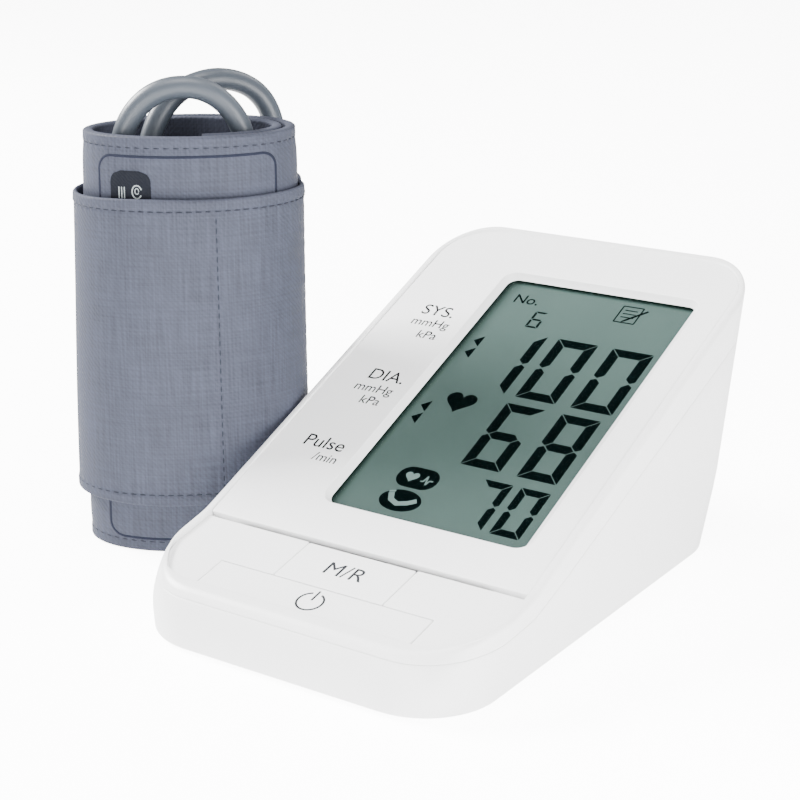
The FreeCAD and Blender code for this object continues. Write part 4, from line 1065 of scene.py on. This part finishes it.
def print_ring(margin, lift):
    """The frame's outline, drawn in by a margin."""
    x, z = outline(length_at(PRINT_FROM) + margin, length_at(PRINT_TO) - margin, PRINT_LOW + margin,
                   PRINT_HIGH - margin, 4.5 - margin, 4.5 - margin, samples=PRINT_SAMPLES)
    return wound(x, z, lift)


frame_rows = [print_ring(-0.4, 0.0), print_ring(-0.4, 0.05), print_ring(0.4, 0.05), print_ring(0.4, 0.0)]
cuff_print = surface("cuff_print", np.array(frame_rows), ring_rows=True, ring_columns=True)
keep(cuff_print, "cuff", "label_dark")

label_x0, label_x1 = length_at(LABEL_FROM), length_at(LABEL_TO)
label_u, label_v = np.meshgrid(np.linspace(-1, 1, 30), np.linspace(0, 1, 44))
corner = 3.6
above = np.clip((LABEL_LOW + (LABEL_HIGH - LABEL_LOW) * label_v - (LABEL_HIGH - corner)) / corner, 0, 1)
half = (label_x1 - label_x0) / 2 - corner * (1 - np.sqrt(1 - above ** 2))
label_length = (label_x0 + label_x1) / 2 + half * label_u
label_z = LABEL_LOW + (LABEL_HIGH - LABEL_LOW) * label_v
label_uv = np.stack([label_length * MM, label_z * MM], axis=-1)
cuff_label = sheet_slab(
    "cuff_label", wound(label_length, label_z, 0.22), wound(label_length, label_z, 0.0), label_uv)
keep(cuff_label, "cuff", "label_dark", "size_label")


def on_label(u, v, w):
    """Flat place on the label, measured from its middle line and top edge."""
    return wound((label_x0 + label_x1) / 2 + u, LABEL_HIGH + v, 0.22 + w)


label_shapes = [
    ribbon(arc_line(2.2, -6.4, 1.5, 2.0, 20, 330, 24), 0.4),
    ribbon(arc_line(2.2, -6.2, 0.6, 0.9, 0, 340, 14), 0.3),
]
label_shapes += [ribbon([(-3.6 + 0.9 * i, -5.0), (-3.6 + 0.9 * i, -8.6)], 0.35) for i in range(3)]
label_sign = prisms("label_sign", label_shapes, on_label, 0.01, 0.05)
keep(label_sign, "cuff", "label_dark")

# %% [markdown]
# Finishes. Two effects are shared by many materials, so each is a node group with named
# inputs: a moulded skin, which is the faint cloudiness and fine grain of plastic and
# rubber, and a weave, which is streaky yarn in two directions with a slanting hatch.

# %% node helpers
def add_node(tree, kind, inputs=(), **settings):
    """Add a node: settings are its options; an input is either a value or a socket to link."""
    made = tree.nodes.new(kind)
    for key, value in settings.items():
        setattr(made, key, value)
    for key, value in dict(inputs).items():
        if isinstance(value, bpy.types.NodeSocket):
            tree.links.new(value, made.inputs[key])
        else:
            made.inputs[key].default_value = value
    return made


def new_group(name, inputs, outputs):
    """Empty node group with named sockets, given as (name, kind, starting value)."""
    group = bpy.data.node_groups.new(name, "ShaderNodeTree")
    for label, kind, value in inputs:
        socket = group.interface.new_socket(label, in_out="INPUT", socket_type=kind)
        if value is not None:
            socket.default_value = value
    for label, kind in outputs:
        group.interface.new_socket(label, in_out="OUTPUT", socket_type=kind)
    return group, group.nodes.new("NodeGroupInput"), group.nodes.new("NodeGroupOutput")


def stretched_noise(tree, vector, scale, detail=3.0):
    """Noise whose cells have their own size along each axis."""
    moved = add_node(tree, "ShaderNodeVectorMath", {0: vector, 1: scale}, operation="MULTIPLY")
    return add_node(tree, "ShaderNodeTexNoise", {"Vector": moved.outputs[0], "Scale": 1.0, "Detail": detail})


def ranged(tree, value, low, high):
    """A 0 to 1 value, moved into another range."""
    return add_node(tree, "ShaderNodeMapRange", {"Value": value, "From Min": 0.3, "From Max": 0.7,
                                                 "To Min": low, "To Max": high}).outputs[0]


def scaled_colour(tree, colour, factor):
    """A colour times a grey factor."""
    grey = add_node(tree, "ShaderNodeCombineColor", {0: factor, 1: factor, 2: factor})
    mixed = add_node(tree, "ShaderNodeMix", data_type="RGBA", blend_type="MULTIPLY")
    mixed.inputs["Factor"].default_value = 1.0
    tree.links.new(colour, mixed.inputs[6])
    tree.links.new(grey.outputs[0], mixed.inputs[7])
    return mixed.outputs[2]


def math_node(tree, operation, first, second):
    """One sum or product."""
    return add_node(tree, "ShaderNodeMath", {0: first, 1: second}, operation=operation).outputs[0]


# %% the moulded skin
skin_group, skin_in, skin_out = new_group(
    "moulded_skin",
    [("Vector", "NodeSocketVector", None), ("Color", "NodeSocketColor", (0.8, 0.8, 0.8, 1)),
     ("Roughness", "NodeSocketFloat", 0.4), ("Grain", "NodeSocketFloat", 0.02),
     ("Cloud", "NodeSocketFloat", 0.03)],
    [("Color", "NodeSocketColor"), ("Roughness", "NodeSocketFloat"), ("Normal", "NodeSocketVector")])
cloud = stretched_noise(skin_group, skin_in.outputs["Vector"], (38.0, 38.0, 38.0), 4.0)
grain = stretched_noise(skin_group, skin_in.outputs["Vector"], (5200.0, 5200.0, 5200.0), 2.0)
cloud_range = ranged(skin_group, cloud.outputs[0], -1.0, 1.0)
cloudiness = math_node(skin_group, "MULTIPLY", cloud_range, skin_in.outputs["Cloud"])
shade = math_node(skin_group, "ADD", cloudiness, 1.0)
skin_group.links.new(scaled_colour(skin_group, skin_in.outputs["Color"], shade), skin_out.inputs["Color"])
roughening = math_node(skin_group, "MULTIPLY", cloudiness, 1.5)
rougher = math_node(skin_group, "ADD", roughening, skin_in.outputs["Roughness"])
skin_group.links.new(rougher, skin_out.inputs["Roughness"])
grain_relief = {"Height": grain.outputs[0], "Strength": skin_in.outputs["Grain"], "Distance": 0.0002}
skin_bump = add_node(skin_group, "ShaderNodeBump", grain_relief)
skin_group.links.new(skin_bump.outputs[0], skin_out.inputs["Normal"])

# %% the weave
weave_group, weave_in, weave_out = new_group(
    "weave",
    [("Vector", "NodeSocketVector", None), ("Color", "NodeSocketColor", (0.4, 0.4, 0.45, 1)),
     ("Streak", "NodeSocketFloat", 1.0), ("Pitch", "NodeSocketFloat", 1100.0)],
    [("Color", "NodeSocketColor"), ("Roughness", "NodeSocketFloat"), ("Height", "NodeSocketFloat")])
warp = stretched_noise(weave_group, weave_in.outputs["Vector"], (1500.0, 60.0, 1.0), 3.0)
weft = stretched_noise(weave_group, weave_in.outputs["Vector"], (60.0, 1500.0, 1.0), 3.0)
patch = stretched_noise(weave_group, weave_in.outputs["Vector"], (95.0, 55.0, 1.0), 2.0)
pitch_values = {0: weave_in.outputs["Vector"], "Scale": weave_in.outputs["Pitch"]}
pitched = add_node(weave_group, "ShaderNodeVectorMath", pitch_values, operation="SCALE")
twill_values = {"Vector": pitched.outputs[0], "Scale": 0.32, "Distortion": 3.0, "Detail": 1.0}
twill = add_node(
    weave_group, "ShaderNodeTexWave", twill_values, wave_type="BANDS", bands_direction="DIAGONAL"
)
yarn = math_node(weave_group, "ADD", ranged(weave_group, warp.outputs[0], -0.085, 0.085),
                 ranged(weave_group, weft.outputs[0], -0.055, 0.055))
yarn = math_node(weave_group, "ADD", yarn, ranged(weave_group, patch.outputs[0], -0.03, 0.03))
centred = math_node(weave_group, "SUBTRACT", twill.outputs["Fac"], 0.5)
hatch = math_node(weave_group, "MULTIPLY", centred, 0.05)
threads = math_node(weave_group, "ADD", yarn, hatch)
pattern = math_node(weave_group, "MULTIPLY", threads, weave_in.outputs["Streak"])
weave_group.links.new(
    scaled_colour(weave_group, weave_in.outputs["Color"], math_node(weave_group, "ADD", pattern, 1.0)),
    weave_out.inputs["Color"])
weave_group.links.new(math_node(weave_group, "ADD", pattern, 0.72), weave_out.inputs["Roughness"])
weave_height = math_node(weave_group, "ADD", pattern, twill.outputs["Fac"])
weave_group.links.new(weave_height, weave_out.inputs["Height"])
print("groups:", [group.name for group in bpy.data.node_groups])

# %% [markdown]
# Each material then holds one Principled shader. What varies over the surface comes out of
# a group; what is the same everywhere is set on the shader itself. Colours are written as
# ordinary screen values and changed to linear light here.

# %% materials
def linear(red, green, blue):
    """Screen colour, 0 to 255, as linear light."""
    value = np.array([red, green, blue]) / 255.0
    light = np.where(value <= 0.04045, value / 12.92, ((value + 0.055) / 1.055) ** 2.4)
    return (*light.tolist(), 1.0)


def start_material(name, **constants):
    """Material with one Principled shader whose plain values are set on its own sockets."""
    material = bpy.data.materials.new(name)
    material.use_nodes = True
    tree = material.node_tree
    shader = tree.nodes["Principled BSDF"]
    for label, value in constants.items():
        shader.inputs[label.replace("_", " ")].default_value = value
    return material, tree, shader


def place_group(tree, group, values):
    """Put a shared group into a material with its own values."""
    made = tree.nodes.new("ShaderNodeGroup")
    made.node_tree = group
    for label, value in values.items():
        if isinstance(value, bpy.types.NodeSocket):
            tree.links.new(value, made.inputs[label])
        else:
            made.inputs[label].default_value = value
    return made


def moulded(name, colour, roughness, grain=0.15, cloud=0.02, **constants):
    """Plastic or rubber: a moulded skin on Object coordinates."""
    material, tree, shader = start_material(name, **constants)
    spot = tree.nodes.new("ShaderNodeTexCoord").outputs["Object"]
    skin = place_group(tree, skin_group, {"Vector": spot, "Color": linear(*colour), "Roughness": roughness,
                                          "Grain": grain, "Cloud": cloud})
    for label in ("Color", "Roughness", "Normal"):
        target = "Base Color" if label == "Color" else label
        tree.links.new(skin.outputs[label], shader.inputs[target])
    return material


def woven(name, colour, streak=1.0, pitch=1100.0, depth=0.35, mapped=True):
    """Cloth: the weave on the piece's own UV map, or on Object coordinates."""
    material, tree, shader = start_material(name, Specular_IOR_Level=0.15)
    coordinates = tree.nodes.new("ShaderNodeTexCoord")
    spot = coordinates.outputs["UV" if mapped else "Object"]
    settings = {"Vector": spot, "Color": linear(*colour), "Streak": streak, "Pitch": pitch}
    weave = place_group(tree, weave_group, settings)
    tree.links.new(weave.outputs["Color"], shader.inputs["Base Color"])
    tree.links.new(weave.outputs["Roughness"], shader.inputs["Roughness"])
    relief = {"Height": weave.outputs["Height"], "Strength": depth, "Distance": 0.00015}
    bump = add_node(tree, "ShaderNodeBump", relief)
    tree.links.new(bump.outputs[0], shader.inputs["Normal"])
    return material


def metal(name, colour, roughness):
    """Plated or brushed metal: fine scratches vary the roughness."""
    material, tree, shader = start_material(name, Metallic=1.0)
    shader.inputs["Base Color"].default_value = linear(*colour)
    spot = tree.nodes.new("ShaderNodeTexCoord").outputs["Object"]
    scratch = stretched_noise(tree, spot, (300.0, 300.0, 6000.0), 2.0)
    worn = ranged(tree, scratch.outputs[0], roughness * 0.8, roughness * 1.25)
    tree.links.new(worn, shader.inputs["Roughness"])
    return material


finishes = {
    "case_white": moulded(
        "case_white", (246, 246, 246), 0.34, 0.10, 0.006, Coat_Weight=0.12, Coat_Roughness=0.25
    ),
    "face_white": moulded("face_white", (246, 246, 246), 0.46, 0.10, 0.006),
    "key_white": moulded("key_white", (249, 249, 249), 0.42, 0.10, 0.006),
    "holder_plastic": moulded("holder_plastic", (205, 205, 203), 0.5),
    "strip_rubber": moulded("strip_rubber", (48, 48, 50), 0.7, 0.3),
    "board_green": moulded("board_green", (22, 84, 46), 0.35, 0.2, 0.10),
    "screw_steel": metal("screw_steel", (190, 190, 192), 0.32),
    "chip_black": moulded("chip_black", (24, 24, 26), 0.45, 0.3),
    "dark_plastic": moulded("dark_plastic", (46, 47, 50), 0.48, 0.2),
    "spring_metal": metal("spring_metal", (214, 212, 205), 0.18),
    "cell_wrap": moulded("cell_wrap", (52, 70, 98), 0.28, 0.05, 0.05),
    "motor_metal": metal("motor_metal", (176, 177, 180), 0.36),
    "foot_rubber": moulded("foot_rubber", (92, 93, 96), 0.75, 0.4, 0.05),
    "hose_rubber": moulded("hose_rubber", (150, 154, 160), 0.55, 0.2, 0.03),
    "cloth_grey": woven("cloth_grey", (64, 67, 79), 2.4),
    "hook_tape": woven("hook_tape", (104, 107, 116), 1.6, 2600.0, 0.8, mapped=False),
    "loop_tape": woven("loop_tape", (112, 115, 124), 1.8, 1800.0, 0.9, mapped=False),
    "label_dark": woven("label_dark", (18, 21, 29), 0.9, 1600.0, 0.3),
    "ring_metal": metal("ring_metal", (196, 197, 200), 0.22),
    "tube_grey": moulded("tube_grey", (64, 70, 78), 0.42, 0.12, 0.02, Coat_Weight=0.08, Coat_Roughness=0.3),
    "plug_grey": moulded("plug_grey", (128, 133, 140), 0.4, 0.15, 0.02),
    "cloth_inner": woven("cloth_inner", (110, 114, 124), 0.6, 2200.0, 0.3, mapped=False),
    "bladder_film": moulded("bladder_film", (150, 150, 146), 0.4),
    "stiffener_sheet": moulded("stiffener_sheet", (206, 206, 202), 0.5),
    "thread": moulded("thread", (46, 48, 56), 0.85, 0.6, 0.08, Specular_IOR_Level=0.1),
    "print_grey": moulded("print_grey", (26, 26, 28), 0.6, 0.10, 0.01, Specular_IOR_Level=0.1),
    "print_light": moulded("print_light", (44, 45, 48), 0.6, 0.10, 0.01, Specular_IOR_Level=0.1),
    "frame_print": moulded("frame_print", (34, 37, 50), 0.8, 0.5, 0.06, Specular_IOR_Level=0.1),
    "label_thread": moulded("label_thread", (150, 158, 160), 0.75, 0.5, 0.06),
    "lcd_cell": moulded("lcd_cell", (3, 10, 10), 0.6, 0.0, 0.02, Specular_IOR_Level=0.0),
}
print("finishes:", len(finishes))

# %% the display's glass and its clear cover
def lcd_material(name, colour, shadow):
    """Grey green glass with a painted shadow: darker close to the window's left and upper edges, read from
    the UV.
    """
    material, tree, shader = start_material(name, Roughness=0.5, Specular_IOR_Level=0.05)
    spot = tree.nodes.new("ShaderNodeTexCoord").outputs["UV"]
    split = add_node(tree, "ShaderNodeSeparateXYZ", {0: spot})
    shades = []
    # Painted shadow of the window's edge: the colour darkens towards the left and upper edges.
    for axis, edge, inner in ((0, 0.0, 0.055), (1, 1.0, 0.972)):
        span = {"From Min": edge, "From Max": inner, "To Min": 1.0, "To Max": 0.0}
        span["Value"] = split.outputs[axis]
        shades.append(add_node(tree, "ShaderNodeMapRange", span, interpolation_type="SMOOTHERSTEP"))
    dark = math_node(tree, "MAXIMUM", shades[0].outputs[0], shades[1].outputs[0])
    cloud = stretched_noise(tree, spot, (2.0, 3.0, 1.0), 2.0)
    tint = add_node(tree, "ShaderNodeMix", {"Factor": cloud.outputs[0], 6: linear(*colour),
                                            7: linear(*[value * 0.93 for value in colour])}, data_type="RGBA")
    tones = {"Factor": dark, 6: tint.outputs[2], 7: linear(*shadow)}
    mixed = add_node(tree, "ShaderNodeMix", tones, data_type="RGBA")
    tree.links.new(mixed.outputs[2], shader.inputs["Base Color"])
    return material


def clear_cover(name):
    """Clear acrylic: almost all of it lets light through, the rest is gloss."""
    material, tree, shader = start_material(name, Roughness=0.08, Alpha=0.05, Specular_IOR_Level=0.1)
    spot = tree.nodes.new("ShaderNodeTexCoord").outputs["Object"]
    cloud = stretched_noise(tree, spot, (30.0, 30.0, 30.0), 2.0)
    tree.links.new(ranged(tree, cloud.outputs[0], 0.06, 0.12), shader.inputs["Roughness"])
    shader.inputs["Base Color"].default_value = linear(8, 10, 10)
    return material


# The second colour is the painted shadow along the window's left and upper edges.
finishes["lcd_glass"] = lcd_material("lcd_glass", (72, 90, 86), (22, 42, 37))
finishes["lens_clear"] = clear_cover("lens_clear")
finishes["lcd_pale"] = moulded("lcd_pale", (98, 119, 115), 0.5, 0.0, 0.02, Specular_IOR_Level=0.05)

# %% dressing every piece
def dress(piece, finish):
    """Give a piece one material."""
    piece.data.materials.clear()
    piece.data.materials.append(finishes[finish])


for part in frame["record"]["subparts"]:
    dress(frame["nodes"][part["node"]], part["material_slot"])
OWN_FINISH = {
    "case_lower": "case_white", "case_upper": "case_white", "key_deck": "case_white",
    "face_panel": "face_white",
    "key_memory": "key_white", "key_power": "key_white", "key_blank_left": "key_white",
    "key_blank_right": "key_white", "lcd_panel": "lcd_glass", "lcd_marks": "lcd_cell", "lcd_word": "lcd_cell",
    "lcd_badge_signs": "lcd_pale", "face_print": "print_grey", "memory_key_print": "print_light",
    "power_key_print": "print_light", "cuff_roll": "cloth_grey", "cuff_strap": "cloth_grey",
    "cuff_strap_end": "cloth_grey", "band_stitches": "thread", "strap_stitches": "thread",
    "strap_seam_stitches": "thread", "cuff_print": "frame_print", "cuff_label": "label_dark",
    "label_sign": "label_thread", "air_hose": "tube_grey",
}
for name, finish in OWN_FINISH.items():
    dress(bpy.data.objects[name], finish)
print("dressed", len(OWN_FINISH), "pieces of our own")

# %% [markdown]
# The studio: a glowing pale floor that runs out of sight, a soft surround, one large lamp
# high on the left, one overhead, one behind, and small low ones that open up the case's walls.

# %% floor and lights
floor_mesh = bpy.data.meshes.new("studio_floor")
floor_mesh.from_pydata([(-6, -6, 0), (6, -6, 0), (6, 6, 0), (-6, 6, 0)], [], [(0, 1, 2, 3)])
floor = bpy.data.objects.new("studio_floor", floor_mesh)
bpy.context.scene.collection.objects.link(floor)
floor_material, floor_tree, floor_shader = start_material("studio_floor", Roughness=0.6)
floor_shader.inputs["Base Color"].default_value = (0.95, 0.95, 0.95, 1.0)
floor_shader.inputs["Emission Color"].default_value = (1.0, 1.0, 1.0, 1.0)
# The floor glows fully only where it is looked at: as a light it stays dim.
seen = floor_tree.nodes.new("ShaderNodeLightPath")
glow = floor_tree.nodes.new("ShaderNodeMapRange")
glow.inputs["To Min"].default_value = 1.1
glow.inputs["To Max"].default_value = 9.0
floor_tree.links.new(seen.outputs["Is Camera Ray"], glow.inputs["Value"])
floor_tree.links.new(glow.outputs["Result"], floor_shader.inputs["Emission Strength"])
floor.data.materials.append(floor_material)

world = bpy.data.worlds.new("studio")
world.use_nodes = True
world.node_tree.nodes["Background"].inputs["Color"].default_value = (1.0, 1.0, 1.0, 1.0)
world.node_tree.nodes["Background"].inputs["Strength"].default_value = 0.4
bpy.context.scene.world = world


def soft_lamp(name, place, target, size, power):
    """Square area lamp turned to face a point."""
    light = bpy.data.lights.new(name, "AREA")
    light.size = size
    light.energy = power
    lamp = bpy.data.objects.new(name, light)
    lamp.location = place
    aim = Vector(target) - Vector(place)
    lamp.rotation_euler = aim.to_track_quat("-Z", "Y").to_euler()
    bpy.context.scene.collection.objects.link(lamp)


soft_lamp("key_lamp", (-1.2, -0.2, 0.95), (0.0, 0.0, 0.05), 0.6, 85.0)
soft_lamp("top_lamp", (0.06, -0.10, 0.75), (0.04, -0.04, 0.05), 0.35, 5.0)
soft_lamp("side_lamp", (0.40, -0.10, 0.14), (0.09, 0.0, 0.04), 0.25, 3.0)
soft_lamp("front_lamp", (0.10, -0.42, 0.10), (0.04, -0.09, 0.02), 0.22, 1.6)
soft_lamp("back_lamp", (0.2, 1.2, 1.2), (0.0, 0.0, 0.05), 0.8, 10.0)
